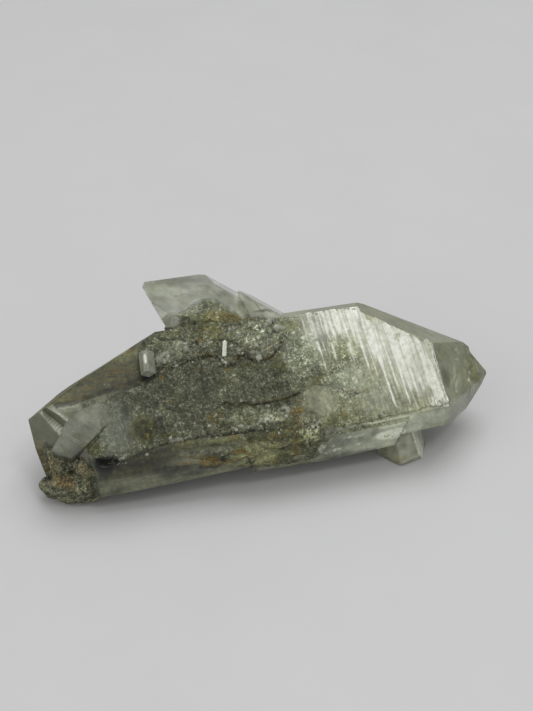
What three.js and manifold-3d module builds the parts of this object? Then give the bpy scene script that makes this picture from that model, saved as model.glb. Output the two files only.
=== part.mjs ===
// Chlorite quartz crystal cluster, grown together as one piece. Units are millimetres, +Z is up.
// A large quartz prism lies on its side with its tip towards +X. A clear crystal pair leans up and
// back from its upper edge, a short crystal points down under the tip end, a flat crystal and a knot
// of rocky matrix close the broken end, and chlorite crusts and small crystals cover the front face.
import * as THREE from "three";
import { mergeVertices } from "three/addons/utils/BufferGeometryUtils.js";
import Module from "manifold-3d";

const wasm = await Module();
wasm.setup();

// Quartz angles: prism faces turn by sixths, and tip faces lean from them towards the tip.
const PRISM_TURN = 60;
const TIP_LEAN = 38.2;

// Edge of the block that every crystal is cut from.
const BLOCK = 400;

// Main crystal: direction of its long axis, a point on it, and its faces as
// [turn about the axis, lean towards the tip, distance from that point].
const MAIN = {
  yaw: 12.5,
  pitch: 2,
  centre: [0, 0, 15],
  faces: {
    front: [53, 0, 8.8],
    top: [113, 0.9, 14.4],
    back: [173, 0, 9.6],
    underBack: [233, 0, 9.4],
    under: [291, 1.9, 13.3],
    lowerFront: [351, 1.4, 16.8],
    tipFront: [54.5, TIP_LEAN, 29.9],
    tipTop: [99.9, 25.7, 22.1],
    tipTopBack: [156.3, 27.7, 21.5],
    tipCorner: [143.2, 52.3, 37.3],
    tipBack: [173, TIP_LEAN, 34],
    tipUnderBack: [233, TIP_LEAN, 33],
    tipUnder: [293, TIP_LEAN, 37],
    tipLower: [353, 42.5, 37.3],
    lowerBevel: [13.3, -2.3, 14.9],
    shoulderLow: [125.7, -27.9, 24.3],
    shoulderHigh: [126.8, -23.8, 22],
    endUpper: [23.3, -42.3, 36.1],
    endLower: [9.5, -37.8, 34.1],
    endBack: [215, -62, 42],
  },
};

// Low parallel growths on the main crystal, as faces about the same axis: one along its lower
// front edge and two stepped layers on its back.
const LEDGES = [
  [
    [351, 1, 17.3], [287, -3, 14.2], [287, 2.5, 15.2], [53, 0, 8],
    [111, 0, -4], [180, 0, -4], [310, 66, 31], [320, -66, 12],
  ],
  [[173, 0, 11.4], [233, 0, 9], [113, 0, 12.4], [53, 0, 2], [293, 0, 4], [180, 50, 21], [190, -60, 22]],
  [[173, 0, 8], [233, 0, 11], [150, 0, 12], [53, 0, 2], [285, 0, 9.6], [230, 48, 12], [240, -62, 24.6]],
];

// Smooth shoulder beside the upper crust, and where along the axis the crust ends it.
const SHOULDER_FACE = [66.9, -1.3, 9.2];
const SHOULDER_END = -23.5;

// Ribbed notch across the broken end: its middle, direction and width.
const NOTCH = { middle: [-40.9, -17.0, 18.9], yaw: -30, pitch: -26, length: 13, width: 2.4 };

// Pointed crystals: tip, direction the tip points, turn of the first prism face, distances of the
// six prism faces from the axis, distances of the six tip faces beyond the tip, lean of the tip
// faces, and length behind the tip.
const EVEN_TIP = [0, 0, 0, 0, 0, 0];
const UPPER = {
  tip: [-24.5, 8.5, 36.2],
  yaw: 187,
  pitch: 37,
  turn: 10,
  radii: [6.5, 7.2, 6.8, 6, 6, 6.5],
  tips: [0, 0, 0, 2.2, 1, 0],
  lean: 30,
  length: 27,
};
const UPPER_TWIN = {
  tip: [-4.9, 8.2, 34],
  yaw: 187,
  pitch: 37,
  turn: 10,
  radii: [3, 0.4, 2.6, 5, 6, 5],
  tips: EVEN_TIP,
  lean: 32,
  length: 14,
};
const FOOT = {
  tip: [36, -5, -6.7],
  yaw: -16,
  pitch: -57,
  turn: 66,
  radii: [4.2, 4.6, 4.6, 5, 5.4, 5.8],
  tips: EVEN_TIP,
  lean: TIP_LEAN,
  length: 20,
};
const REAR = {
  tip: [3, 24, -3.5],
  yaw: 81,
  pitch: -40,
  turn: 22,
  radii: [5, 4.6, 5.4, 5, 4.8, 5.2],
  tips: EVEN_TIP,
  lean: TIP_LEAN,
  length: 24,
};
const REAR_UPPER = {
  tip: [-19, 20.5, 24],
  yaw: 128,
  pitch: 18,
  turn: 8,
  radii: [3.4, 3.2, 3.8, 3.4, 3.2, 3.6],
  tips: EVEN_TIP,
  lean: TIP_LEAN,
  length: 18,
};
const SIDE = {
  tip: [-18.6, 3.4, 31.4],
  yaw: 150,
  pitch: 60,
  turn: 12,
  radii: [2.4, 2.8, 2.4, 2.2, 2.6, 2.4],
  tips: EVEN_TIP,
  lean: 52,
  length: 8,
};
const TABLET = {
  tip: [-22.9, -8.2, 24.4],
  yaw: -76,
  pitch: -37,
  turn: 20,
  radii: [1.5, 1.7, 1.4, 1.5, 1.7, 1.4],
  tips: EVEN_TIP,
  lean: 50,
  length: 6,
};
const NEEDLE = {
  tip: [-7.4, -1.5, 28.4],
  yaw: 95,
  pitch: 56,
  turn: 0,
  radii: [0.7, 0.6, 0.7, 0.7, 0.6, 0.7],
  tips: EVEN_TIP,
  lean: 50,
  length: 5,
};

// Small crystals standing on the upper crust: how many, the stretch of the front face they cover,
// middle and spread of how far their tips stand out of the crust, of the directions they point in
// and of their turn, size and its spread, and length.
const DRUSE = {
  count: 16,
  from: [-21, 4],
  to: [4, 12.5],
  reach: [0.6, 0.5],
  yaw: [-80, 70],
  pitch: [50, 30],
  turn: 30,
  radius: 0.55,
  spread: 0.4,
  length: 3,
};

// Small crystals around the matrix on the back: how many, middle and half sizes of the patch their
// tips lie in, middle and spread of the directions they point in and of their turn, size, how much
// it differs between crystals and between the sides of one, and length.
const REAR_SPRAY = {
  count: 9,
  middle: [-10, 15.5, 14],
  half: [11, 2, 7],
  yaw: [95, 45],
  pitch: [8, 38],
  turn: 30,
  radius: 1.7,
  spread: [0.35, 0.15],
  length: 9,
};

// Matrix lumps at the broken end: centre and half sizes.
const LUMPS = [
  { centre: [-39.5, -19.3, 5], half: [6.2, 4.2, 6.8] },
  { centre: [-39.6, -19.6, 12.5], half: [4.6, 3.6, 4.6] },
  { centre: [-35, -20.2, 9.5], half: [4.6, 3.4, 4.6] },
  { centre: [-36.6, -20.4, 4.6], half: [4, 3, 3.8] },
  { centre: [-43, -18.6, 4.2], half: [3, 3, 4] },
  { centre: [-12, 12, 12], half: [9, 4, 6] },
];
const LUMP_DETAIL = 5;
const LUMP_ROUGHNESS = 0.16;

// Crust plates on the front face: outlines as [along the axis, up across the face], and thickness.
// A crust's outline is broken up by steps of this length and depth; the left crystal's stays straight.
const CRUST_SINK = 1.5;
const CRUST_STEPS = { step: 2.2, depth: 0.5 };
const STRAIGHT = { step: BLOCK, depth: 0 };
const UPPER_CRUST = [
  [-23.5, 11.5], [-17.5, 12.6], [-6, 13], [7, 11.5], [10, 10], [7.5, 8.5], [4.5, 5.5], [2.5, 3.5],
  [-2, 3], [-3.5, 4.5], [-5, 3], [-8, 3.5], [-9, 5.5], [-11, 6.5], [-14, 5.5], [-22.5, 5], [-25.5, 5],
];
const UPPER_CRUST_HEIGHT = 1.3;
const MIDDLE_CRUST = [
  [-24, 3], [-9, 3.5], [4.5, 5], [9, 2], [12, -3], [6, -5], [-1.5, -5.5], [-8, -5],
  [-12, -10], [-24, -11], [-31, -12.5], [-33, -9], [-34, -4], [-28, 1.5],
];
const MIDDLE_CRUST_HEIGHT = 0.7;
const LOWER_CRUST = [
  [-12, -5.5], [-8, -5], [-1.5, -5.5], [5.5, -6], [11.5, -3.5], [13, -9], [22, -12.5], [15, -13.6],
  [5.5, -12.2], [-3, -11.2], [-12.5, -11],
];
const LOWER_CRUST_HEIGHT = 0.5;
const LEFT_CRYSTAL = [
  [-44.5, -6], [-42, -2.5], [-40, 0], [-32.5, -0.2], [-28, 1.5], [-34, -4], [-40.5, -10.5],
];
const LEFT_CRYSTAL_HEIGHT = 1.2;

function radians(degrees) {
  return (degrees * Math.PI) / 180;
}

// Axis, level side and upper side of something that points along yaw and pitch.
function frameAlong(yaw, pitch) {
  const axis = new THREE.Vector3(
    Math.cos(radians(yaw)) * Math.cos(radians(pitch)),
    Math.sin(radians(yaw)) * Math.cos(radians(pitch)),
    Math.sin(radians(pitch)),
  );
  const side = new THREE.Vector3().crossVectors(axis, new THREE.Vector3(0, 0, 1)).normalize();
  const upper = new THREE.Vector3().crossVectors(side, axis);
  return { axis, side, upper };
}

function faceNormal({ axis, side, upper }, turn, lean) {
  return new THREE.Vector3()
    .addScaledVector(side, Math.cos(radians(turn)) * Math.cos(radians(lean)))
    .addScaledVector(upper, Math.sin(radians(turn)) * Math.cos(radians(lean)))
    .addScaledVector(axis, Math.sin(radians(lean)));
}

// Closed solid from a geometry, for joining and cutting.
function toSolid(geometry) {
  geometry.deleteAttribute("normal");
  geometry.deleteAttribute("uv");
  const merged = mergeVertices(geometry, 1e-4);
  return new wasm.Manifold(
    new wasm.Mesh({
      numProp: 3,
      vertProperties: Float32Array.from(merged.attributes.position.array),
      triVerts: Uint32Array.from(merged.index.array),
    }),
  );
}

function toGeometry(solid) {
  const mesh = solid.getMesh();
  const geometry = new THREE.BufferGeometry();
  geometry.setAttribute("position", new THREE.BufferAttribute(mesh.vertProperties, 3));
  geometry.setIndex(new THREE.BufferAttribute(mesh.triVerts, 1));
  return geometry;
}

// The part of a block that lies inside every face given about an axis.
function cutCrystal({ yaw, pitch, centre, faces }) {
  const frame = frameAlong(yaw, pitch);
  const point = new THREE.Vector3(...centre);
  let solid = toSolid(new THREE.BoxGeometry(BLOCK, BLOCK, BLOCK));
  for (const [turn, lean, distance] of faces) {
    const inward = faceNormal(frame, turn, lean).negate();
    solid = solid.trimByPlane(inward.toArray(), inward.dot(point) - distance);
  }
  return solid;
}

// A six-sided crystal with a six-faced point at its tip.
function pointedCrystal({ tip, yaw, pitch, turn, radii, tips, lean, length }) {
  const faces = [[0, -90, length]];
  for (let side = 0; side < 6; side += 1) {
    faces.push([turn + side * PRISM_TURN, 0, radii[side]]);
    faces.push([turn + side * PRISM_TURN, lean, tips[side]]);
  }
  return cutCrystal({ yaw, pitch, centre: tip, faces });
}

// Smooth repeatable noise between -1 and 1.
function hash(x, y, z) {
  const value = Math.sin(x * 127.1 + y * 311.7 + z * 74.7) * 43758.5453;
  return (value - Math.floor(value)) * 2 - 1;
}

function noise(x, y, z) {
  const [ix, iy, iz] = [Math.floor(x), Math.floor(y), Math.floor(z)];
  const [fx, fy, fz] = [x - ix, y - iy, z - iz].map((f) => f * f * (3 - 2 * f));
  let sum = 0;
  for (let corner = 0; corner < 8; corner += 1) {
    const [dx, dy, dz] = [corner & 1, (corner >> 1) & 1, corner >> 2];
    const weight = (dx ? fx : 1 - fx) * (dy ? fy : 1 - fy) * (dz ? fz : 1 - fz);
    sum += weight * hash(ix + dx, iy + dy, iz + dz);
  }
  return sum;
}

// A rough lump of matrix.
function lump({ centre, half }) {
  const geometry = new THREE.IcosahedronGeometry(1, LUMP_DETAIL);
  const point = new THREE.Vector3();
  const positions = geometry.attributes.position;
  for (let i = 0; i < positions.count; i += 1) {
    point.fromBufferAttribute(positions, i);
    const rough = noise(point.x * 2 + centre[0], point.y * 2, point.z * 2 + centre[2]);
    const fine = noise(point.x * 4.3, point.y * 4.3 + centre[1], point.z * 4.3);
    point.multiplyScalar(1 + LUMP_ROUGHNESS * (rough + 0.6 * fine));
    point.set(point.x * half[0], point.y * half[1], point.z * half[2]);
    positions.setXYZ(i, point.x + centre[0], point.y + centre[1], point.z + centre[2]);
  }
  return toSolid(geometry);
}

// An outline with its straight stretches broken up by small steps in and out.
function jagged(outline, { step, depth }) {
  const points = [];
  outline.forEach(([x0, y0], i) => {
    const [x1, y1] = outline[(i + 1) % outline.length];
    const length = Math.hypot(x1 - x0, y1 - y0);
    const count = Math.max(1, Math.round(length / step));
    for (let k = 0; k < count; k += 1) {
      const shift = k === 0 ? 0 : depth * hash(i, k, length);
      const [along, across] = [k / count, shift / length];
      points.push(new THREE.Vector2(
        x0 + (x1 - x0) * along - (y1 - y0) * across,
        y0 + (y1 - y0) * along + (x1 - x0) * across,
      ));
    }
  });
  return points;
}

// Directions and origin of the main crystal's front face: along, across and out of it.
function frontFace() {
  const { axis, ...rest } = frameAlong(MAIN.yaw, MAIN.pitch);
  const [turn, lean, distance] = MAIN.faces.front;
  const outward = faceNormal({ axis, ...rest }, turn, lean);
  const across = new THREE.Vector3().crossVectors(outward, axis);
  const origin = new THREE.Vector3(...MAIN.centre).addScaledVector(outward, distance);
  return { axis, across, outward, origin };
}

// A plate on the front face, with an outline given in that face.
function plate(outline, height, steps) {
  const { axis, across, outward, origin } = frontFace();
  const place = new THREE.Matrix4()
    .makeBasis(axis, across, outward)
    .setPosition(origin.addScaledVector(outward, -CRUST_SINK));
  const shape = new THREE.Shape(jagged(outline, steps));
  const geometry = new THREE.ExtrudeGeometry(shape, { depth: CRUST_SINK + height, bevelEnabled: false });
  return toSolid(geometry.applyMatrix4(place));
}

// Small crystals pointing back and out of the matrix behind.
function rearSpray() {
  const { count, middle, half, yaw, pitch, turn, radius, spread, length } = REAR_SPRAY;
  return Array.from({ length: count }, (_, i) => {
    const size = 1 + spread[0] * hash(i, 6, 11);
    return pointedCrystal({
      tip: middle.map((value, k) => value + half[k] * hash(i, k, 11)),
      yaw: yaw[0] + yaw[1] * hash(i, 3, 11),
      pitch: pitch[0] + pitch[1] * hash(i, 4, 11),
      turn: turn * hash(i, 5, 11),
      radii: EVEN_TIP.map((_value, k) => radius * (size + spread[1] * hash(i, k, 12))),
      tips: EVEN_TIP,
      lean: TIP_LEAN,
      length,
    });
  });
}

// Small crystals pointing every way out of the upper crust.
function druse() {
  const { axis, across, outward, origin } = frontFace();
  const { count, from, to, reach, yaw, pitch, turn, radius, spread, length } = DRUSE;
  return Array.from({ length: count }, (_, i) => {
    const along = THREE.MathUtils.lerp(from[0], to[0], (hash(i, 1, 0) + 1) / 2);
    const up = THREE.MathUtils.lerp(from[1], to[1], (hash(i, 2, 0) + 1) / 2);
    const tip = origin.clone()
      .addScaledVector(axis, along)
      .addScaledVector(across, up)
      .addScaledVector(outward, UPPER_CRUST_HEIGHT + reach[0] + reach[1] * hash(i, 3, 0));
    return pointedCrystal({
      tip: tip.toArray(),
      yaw: yaw[0] + yaw[1] * hash(i, 5, 0),
      pitch: pitch[0] + pitch[1] * hash(i, 6, 0),
      turn: turn * hash(i, 7, 0),
      radii: Array(6).fill(radius * (1 + spread * hash(i, 4, 0))),
      tips: EVEN_TIP,
      lean: TIP_LEAN,
      length,
    });
  });
}

// The main crystal with its parallel growths, less the smooth shoulder and the notch.
function mainCrystal() {
  const { yaw, pitch, centre } = MAIN;
  let body = cutCrystal({ yaw, pitch, centre, faces: Object.values(MAIN.faces) });
  for (const faces of LEDGES) {
    body = body.add(cutCrystal({ yaw, pitch, centre, faces }));
  }
  const [turn, lean, distance] = SHOULDER_FACE;
  const beyondShoulder = cutCrystal({
    yaw,
    pitch,
    centre,
    faces: [[turn + 180, -lean, -distance], [0, 90, SHOULDER_END]],
  });
  return body.subtract(beyondShoulder).subtract(notch());
}

// A square bar on edge, sunk to its middle.
function notch() {
  const { axis, side, upper } = frameAlong(NOTCH.yaw, NOTCH.pitch);
  const place = new THREE.Matrix4().makeBasis(axis, upper, side);
  place.setPosition(new THREE.Vector3(...NOTCH.middle));
  const bar = new THREE.BoxGeometry(NOTCH.length, NOTCH.width, NOTCH.width);
  return toSolid(bar.applyMatrix4(place));
}

function buildCluster() {
  let solid = mainCrystal();
  for (const shape of [UPPER, UPPER_TWIN, FOOT, REAR, REAR_UPPER, SIDE, TABLET, NEEDLE]) {
    solid = solid.add(pointedCrystal(shape));
  }
  for (const shape of LUMPS) {
    solid = solid.add(lump(shape));
  }
  for (const crystal of [...druse(), ...rearSpray()]) {
    solid = solid.add(crystal);
  }
  solid = solid.add(plate(UPPER_CRUST, UPPER_CRUST_HEIGHT, CRUST_STEPS));
  solid = solid.add(plate(MIDDLE_CRUST, MIDDLE_CRUST_HEIGHT, CRUST_STEPS));
  solid = solid.add(plate(LOWER_CRUST, LOWER_CRUST_HEIGHT, CRUST_STEPS));
  solid = solid.add(plate(LEFT_CRYSTAL, LEFT_CRYSTAL_HEIGHT, STRAIGHT));
  return outerSkin(solid.trimByPlane([0, 0, 1], 0));
}

// The largest shell, so that gaps closed in between grown-together crystals are filled.
function outerSkin(solid) {
  return solid.decompose().reduce((largest, body) => (body.volume() > largest.volume() ? body : largest));
}

// Origin at the middle of the underside.
function centred(solid) {
  const geometry = toGeometry(solid);
  geometry.computeBoundingBox();
  const middle = geometry.boundingBox.getCenter(new THREE.Vector3());
  return geometry.translate(-middle.x, -middle.y, -geometry.boundingBox.min.z);
}

const cluster = new THREE.Mesh(
  centred(buildCluster()),
  new THREE.MeshStandardMaterial({ color: 0x7b7e6b, roughness: 0.45, metalness: 0 }),
);
cluster.name = "crystal_cluster";

const group = new THREE.Group();
group.add(cluster);
export default group;
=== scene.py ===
"""Chlorite quartz crystal cluster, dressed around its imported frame.

Lengths in the tables are millimetres in the frame that the solids were laid out in.
"""

import math
from types import SimpleNamespace

import bmesh
import bpy
import numpy as np
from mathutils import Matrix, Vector
from mathutils.bvhtree import BVHTree
from mathutils.geometry import delaunay_2d_cdt


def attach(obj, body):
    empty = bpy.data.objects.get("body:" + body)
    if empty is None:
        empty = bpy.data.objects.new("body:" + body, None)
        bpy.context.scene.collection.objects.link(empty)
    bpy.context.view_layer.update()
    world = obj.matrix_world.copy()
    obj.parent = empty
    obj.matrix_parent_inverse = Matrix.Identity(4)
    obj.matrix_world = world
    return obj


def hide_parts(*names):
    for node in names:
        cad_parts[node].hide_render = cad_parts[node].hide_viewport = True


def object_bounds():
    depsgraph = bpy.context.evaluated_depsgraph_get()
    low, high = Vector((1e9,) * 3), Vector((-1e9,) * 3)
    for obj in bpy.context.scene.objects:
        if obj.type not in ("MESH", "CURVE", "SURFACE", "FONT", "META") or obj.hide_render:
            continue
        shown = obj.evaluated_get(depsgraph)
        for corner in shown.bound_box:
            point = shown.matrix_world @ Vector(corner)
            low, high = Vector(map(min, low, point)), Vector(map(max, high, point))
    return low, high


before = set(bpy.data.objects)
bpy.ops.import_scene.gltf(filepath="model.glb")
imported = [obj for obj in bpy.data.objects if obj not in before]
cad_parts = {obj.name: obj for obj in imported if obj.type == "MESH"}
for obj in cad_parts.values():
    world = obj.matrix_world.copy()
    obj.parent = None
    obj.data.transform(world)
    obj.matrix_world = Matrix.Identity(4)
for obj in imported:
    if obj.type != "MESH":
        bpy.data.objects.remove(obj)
CAD_LOW, CAD_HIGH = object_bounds()

MM = 0.001
NODE = "crystal_cluster"
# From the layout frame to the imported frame, whose origin is the middle of the underside.
SHIFT = np.array([-1.2860, 0.3053, 0.0])
# Every point stays this far inside the solids' own box.
BOX_MARGIN = 0.02

# Half width of the sheets that solids are cut from.
SHEET = 800
PRISM_TURN = 60
TIP_LEAN = 38.2
# Shades are given as they look, and a material's tone is this power of them. Those of the large faces
# stay in this range.
TONE_POWER = 2.2
SHADE_RANGE = (0.2, 1.9)

# Main crystal: direction of its long axis, a point on it, and its faces as
# (turn about the axis, lean towards the tip, distance from that point).
MAIN_YAW, MAIN_PITCH = 12.5, 2
MAIN_CENTRE = np.array([0.0, 0.0, 15.0])
FRONT, TOP, LOWER_FRONT = (53, 0, 8.8), (113, 0.9, 14.4), (351, 1.4, 16.8)
MAIN_FACES = [
    FRONT, TOP, (173, 0, 9.6), (233, 0, 9.4), (291, 1.9, 13.3), LOWER_FRONT,
    (54.5, TIP_LEAN, 29.9), (99.9, 25.7, 22.1), (156.3, 27.7, 21.5), (143.2, 52.3, 37.3),
    (173, TIP_LEAN, 34), (233, TIP_LEAN, 33), (293, TIP_LEAN, 37), (353, 42.5, 37.3),
    (13.3, -2.3, 14.9), (125.7, -27.9, 24.3), (126.8, -23.8, 22), (23.3, -42.3, 36.1), (9.5, -37.8, 34.1),
    (215, -62, 42),
]
LEDGES = [
    [(351, 1, 17.3), (287, -3, 14.2), (287, 2.5, 15.2), (53, 0, 8), (111, 0, -4), (180, 0, -4),
     (310, 66, 31), (320, -66, 12)],
    [(173, 0, 11.4), (233, 0, 9), (113, 0, 12.4), (53, 0, 2), (293, 0, 4), (180, 50, 21), (190, -60, 22)],
    [(173, 0, 8), (233, 0, 11), (150, 0, 12), (53, 0, 2), (285, 0, 9.6), (230, 48, 12), (240, -62, 24.6)],
]
# The upper side of the tip is a little fuller up to a small step.
FULLER = {8: (156.3, 27.7, 22.5), 9: (143.2, 52.3, 39.5)}
STEPPED_FACES = [FULLER.get(k, face) for k, face in enumerate(MAIN_FACES)] + [(0, 90, 47.6)]
SHOULDER_FACE = (66.9, -1.3, 9.2)
SHOULDER_END = -23.5
NOTCH = {"middle": (-41.3, -17.4, 18.6), "yaw": -30, "pitch": -26, "length": 13, "width": 3.6, "depth": 3.2}

# Pointed crystals: tip, yaw, pitch, turn of the first prism face, distances of the prism faces from
# the axis, lean of the tip faces, distances of the tip faces beyond the tip, length behind the tip.
EVEN_TIP = (0, 0, 0, 0, 0, 0)
UPPER = ((-24.5, 8.5, 36.2), 187, 37, 10, (6.5, 7.2, 6.8, 6, 6, 6.5), 30, (0, 0, 0, 2.2, 1, 0), 27)
UPPER_TWIN = ((-4.9, 8.2, 34), 187, 37, 10, (3, 0.4, 2.6, 5, 6, 5), 32, EVEN_TIP, 14)
FOOT = ((33.9, -5, -6.6), -30, -70, 110, (4.2, 4.6, 4.6, 5, 5.4, 5.8), TIP_LEAN, EVEN_TIP, 20)
REAR = ((3, 24, -3.5), 81, -40, 22, (5, 4.6, 5.4, 5, 4.8, 5.2), TIP_LEAN, EVEN_TIP, 24)
REAR_UPPER = ((-19, 20.5, 24), 128, 18, 8, (3.4, 3.2, 3.8, 3.4, 3.2, 3.6), TIP_LEAN, EVEN_TIP, 18)
SIDE = ((-18.6, 3.4, 31.4), 150, 60, 12, (2.4, 2.8, 2.4, 2.2, 2.6, 2.4), 52, EVEN_TIP, 8)
TABLET = ((-22.9, -8.5, 24), -80, -37, 20, (1.4, 1.8, 1.3, 1.4, 1.8, 1.3), 62, EVEN_TIP, 5.4)
NEEDLE = ((-7.3, -1.5, 28.4), 86, 56, 0, (0.42, 0.4, 0.42, 0.42, 0.4, 0.42), 50, EVEN_TIP, 3.4)

# Lumps of matrix: middle and half sizes.
LUMPS = [
    ((-40, -19.2, 4.4), (5.6, 3.8, 4.8)),
    ((-40.4, -18.6, 10), (3.6, 3, 3.4)),
    ((-35.2, -19.6, 10), (3.8, 2.8, 3.2)),
    ((-36, -20.2, 4.4), (4.2, 3, 4)),
    ((-43, -18.8, 3.8), (3, 3, 3.6)),
]
REAR_LUMPS = [((-12, 12, 12), (9, 4, 6))]

# The camera looks along SIGHT at this target from this far away, and each light is given by its name,
# its direction from the target, its size in metres and its power.
CAMERA_RISE = math.radians(38)
SIGHT = np.array([0, math.cos(CAMERA_RISE), -math.sin(CAMERA_RISE)])
CAMERA_TARGET = np.array([1.4, 4.6, 19.5])
CAMERA_DISTANCE = 0.258
LIGHT_DISTANCE = 0.9
LIGHTS = [("key", (0.1, 0.3, 0.95), 0.6, 3.6), ("fill", (-0.72, -0.48, 0.43), 0.9, 2.0)]
# Where on the front face the glint light is mirrored, along the crystal.
GLINT_PLACE = 28.0


# Repeatable noise


def lattice(cells, seed):
    """A repeatable value between -1 and 1 for each whole-number cell."""
    x, y, z = (cells[..., k].astype(np.int64).astype(np.uint64) for k in range(3))
    h = x * np.uint64(73856093) ^ y * np.uint64(19349663) ^ z * np.uint64(83492791)
    h = (h ^ np.uint64(seed * 2654435761 + 12345)) & np.uint64(0xFFFFFFFF)
    h = ((h ^ (h >> np.uint64(15))) * np.uint64(2246822519)) & np.uint64(0xFFFFFFFF)
    h = ((h ^ (h >> np.uint64(13))) * np.uint64(3266489917)) & np.uint64(0xFFFFFFFF)
    return ((h ^ (h >> np.uint64(16))) & np.uint64(0xFFFFFF)).astype(float) / 0x7FFFFF - 1


# Turns the cells of the noise, so that they don't line up with the faces.
CELL_TURN = np.array([[0.8, 0.36, -0.48], [-0.6, 0.48, -0.64], [0, 0.8, 0.6]])


def noise(points, size, seed, turn=CELL_TURN):
    """Smooth noise between -1 and 1 with features of about size, which may differ by axis."""
    p = points / np.asarray(size, float) @ turn
    cell = np.floor(p)
    f = p - cell
    f = f * f * (3 - 2 * f)
    total = 0
    for corner in range(8):
        step = np.array([corner & 1, corner >> 1 & 1, corner >> 2])
        weight = np.prod(np.where(step == 1, f, 1 - f), axis=-1)
        total = total + weight * lattice(cell + step, seed)
    return total


def fractal(points, size, seed, octaves=4):
    """Noise with finer noise on top, each octave half as large and half as strong."""
    total, share, whole = 0, 1.0, 0.0
    size = np.asarray(size, float)
    for k in range(octaves):
        total = total + share * noise(points, size / 2**k, seed + 17 * k)
        whole += share
        share /= 2
    return total / whole


def ease(x, low, high):
    """A smooth step from 0 at low to 1 at high."""
    x = np.clip((x - low) / (high - low), 0, 1)
    return x * x * (3 - 2 * x)


def flat_points(s, t, layer=0.0):
    return np.stack([s, t, np.full_like(s, layer)], axis=-1)


def cells(s, t, size, seed):
    """Distance to the nearest of many scattered points, and a value for that point."""
    p = np.stack([s, t], axis=-1) / size
    home = np.floor(p)
    best, value = np.full(s.shape, 9.0), np.zeros(s.shape)
    for dx in (-1, 0, 1):
        for dy in (-1, 0, 1):
            c = home + (dx, dy)
            c3 = np.concatenate([c, np.zeros(c.shape[:-1] + (1,))], axis=-1)
            scattered = c + 0.5 + 0.45 * np.stack([lattice(c3, seed), lattice(c3, seed + 1)], axis=-1)
            d = np.hypot(*np.moveaxis(p - scattered, -1, 0))
            value = np.where(d < best, lattice(c3, seed + 2), value)
            best = np.minimum(best, d)
    return best * size, value


# Plane-cut solids


def link(thing):
    bpy.context.scene.collection.objects.link(thing)
    return thing


def frame_along(yaw, pitch):
    """Axis, level side and upper side of something that points along yaw and pitch."""
    yaw, pitch = math.radians(yaw), math.radians(pitch)
    axis = np.array([math.cos(yaw) * math.cos(pitch), math.sin(yaw) * math.cos(pitch), math.sin(pitch)])
    side = np.cross(axis, (0, 0, 1))
    side /= np.linalg.norm(side)
    return axis, side, np.cross(side, axis)


def face_plane(axes, point, turn, lean, distance):
    """Normal and offset of a face at this turn, lean and distance around a point."""
    axis, side, upper = axes
    turn, lean = math.radians(turn), math.radians(lean)
    normal = (math.cos(turn) * side + math.sin(turn) * upper) * math.cos(lean) + axis * math.sin(lean)
    return normal, normal @ point + distance


def flat_basis(normal):
    """Two directions at right angles in the plane of this normal."""
    u = np.cross(normal, (0, 0, 1) if abs(normal[2]) < 0.9 else (1, 0, 0))
    u /= np.linalg.norm(u)
    return np.stack([u, np.cross(normal, u)])


def polyhedron(planes):
    """Polygons of the solid inside every plane, each as an array of corners."""
    polygons = []
    for i, (normal, offset) in enumerate(planes):
        u, v = flat_basis(normal)
        signs = ((-1, -1), (1, -1), (1, 1), (-1, 1))
        corners = [normal * offset + SHEET * (a * u + b * v) for a, b in signs]
        for j, (other, limit) in enumerate(planes):
            if j == i or not corners:
                continue
            kept = []
            for a, b in zip(corners, corners[1:] + corners[:1]):
                da, db = other @ a - limit, other @ b - limit
                if da <= 0:
                    kept.append(a)
                if (da < 0 < db) or (db < 0 < da):
                    kept.append(a + (b - a) * (da / (da - db)))
            corners = kept
        if len(corners) >= 3:
            polygons.append(np.array(corners))
    return polygons


AXES = frame_along(MAIN_YAW, MAIN_PITCH)
AXIS = AXES[0]


def main_planes(faces):
    return [face_plane(AXES, MAIN_CENTRE, *face) for face in faces]


def pointed_planes(tip, yaw, pitch, turn, radii, lean, tips, length):
    """Planes of a pointed crystal, in the order in which the tables above give its measures."""
    axes = frame_along(yaw, pitch)
    faces = [(0, -90, length)]
    for k in range(6):
        faces += [(turn + k * PRISM_TURN, 0, radii[k]), (turn + k * PRISM_TURN, lean, tips[k])]
    return [face_plane(axes, np.array(tip, float), *face) for face in faces]


def block_planes(middle, yaw, pitch, length, width, depth):
    middle = np.array(middle, float)
    halves = (length / 2, width / 2, depth / 2)
    return [
        (sign * direction, sign * direction @ middle + half)
        for direction, half in zip(frame_along(yaw, pitch), halves)
        for sign in (1, -1)
    ]


def solid_faces(planes):
    """A closed bmesh with one polygon a plane."""
    bm = bmesh.new()
    known = {}
    for corners in polyhedron(planes):
        ring = []
        for corner in corners:
            key = tuple(np.round(corner, 3))
            if key not in known:
                known[key] = bm.verts.new(corner)
            if known[key] not in ring:
                ring.append(known[key])
        if len(ring) >= 3:
            bm.faces.new(ring)
    bmesh.ops.recalc_face_normals(bm, faces=bm.faces)
    return bm


def solid_object(planes):
    """The solid inside every plane as an object, still in millimetres."""
    bm = solid_faces(planes)
    mesh = bpy.data.meshes.new("solid")
    bm.to_mesh(mesh)
    bm.free()
    return link(bpy.data.objects.new("solid", mesh))


def solid_arrays(planes):
    """The same solid as points and triangles."""
    bm = solid_faces(planes)
    bmesh.ops.triangulate(bm, faces=bm.faces)
    bm.verts.index_update()
    points = np.array([v.co for v in bm.verts])
    tris = np.array([[v.index for v in f.verts] for f in bm.faces])
    bm.free()
    return points, tris


def combine(first, second, operation):
    """Join or cut the first object with the second, which is used up."""
    modifier = first.modifiers.new("join", "BOOLEAN")
    modifier.operation, modifier.solver, modifier.object = operation, "EXACT", second
    bpy.context.view_layer.update()
    mesh = bpy.data.meshes.new_from_object(first.evaluated_get(bpy.context.evaluated_depsgraph_get()))
    first.modifiers.clear()
    first.data = mesh
    bpy.data.objects.remove(second)


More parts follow.
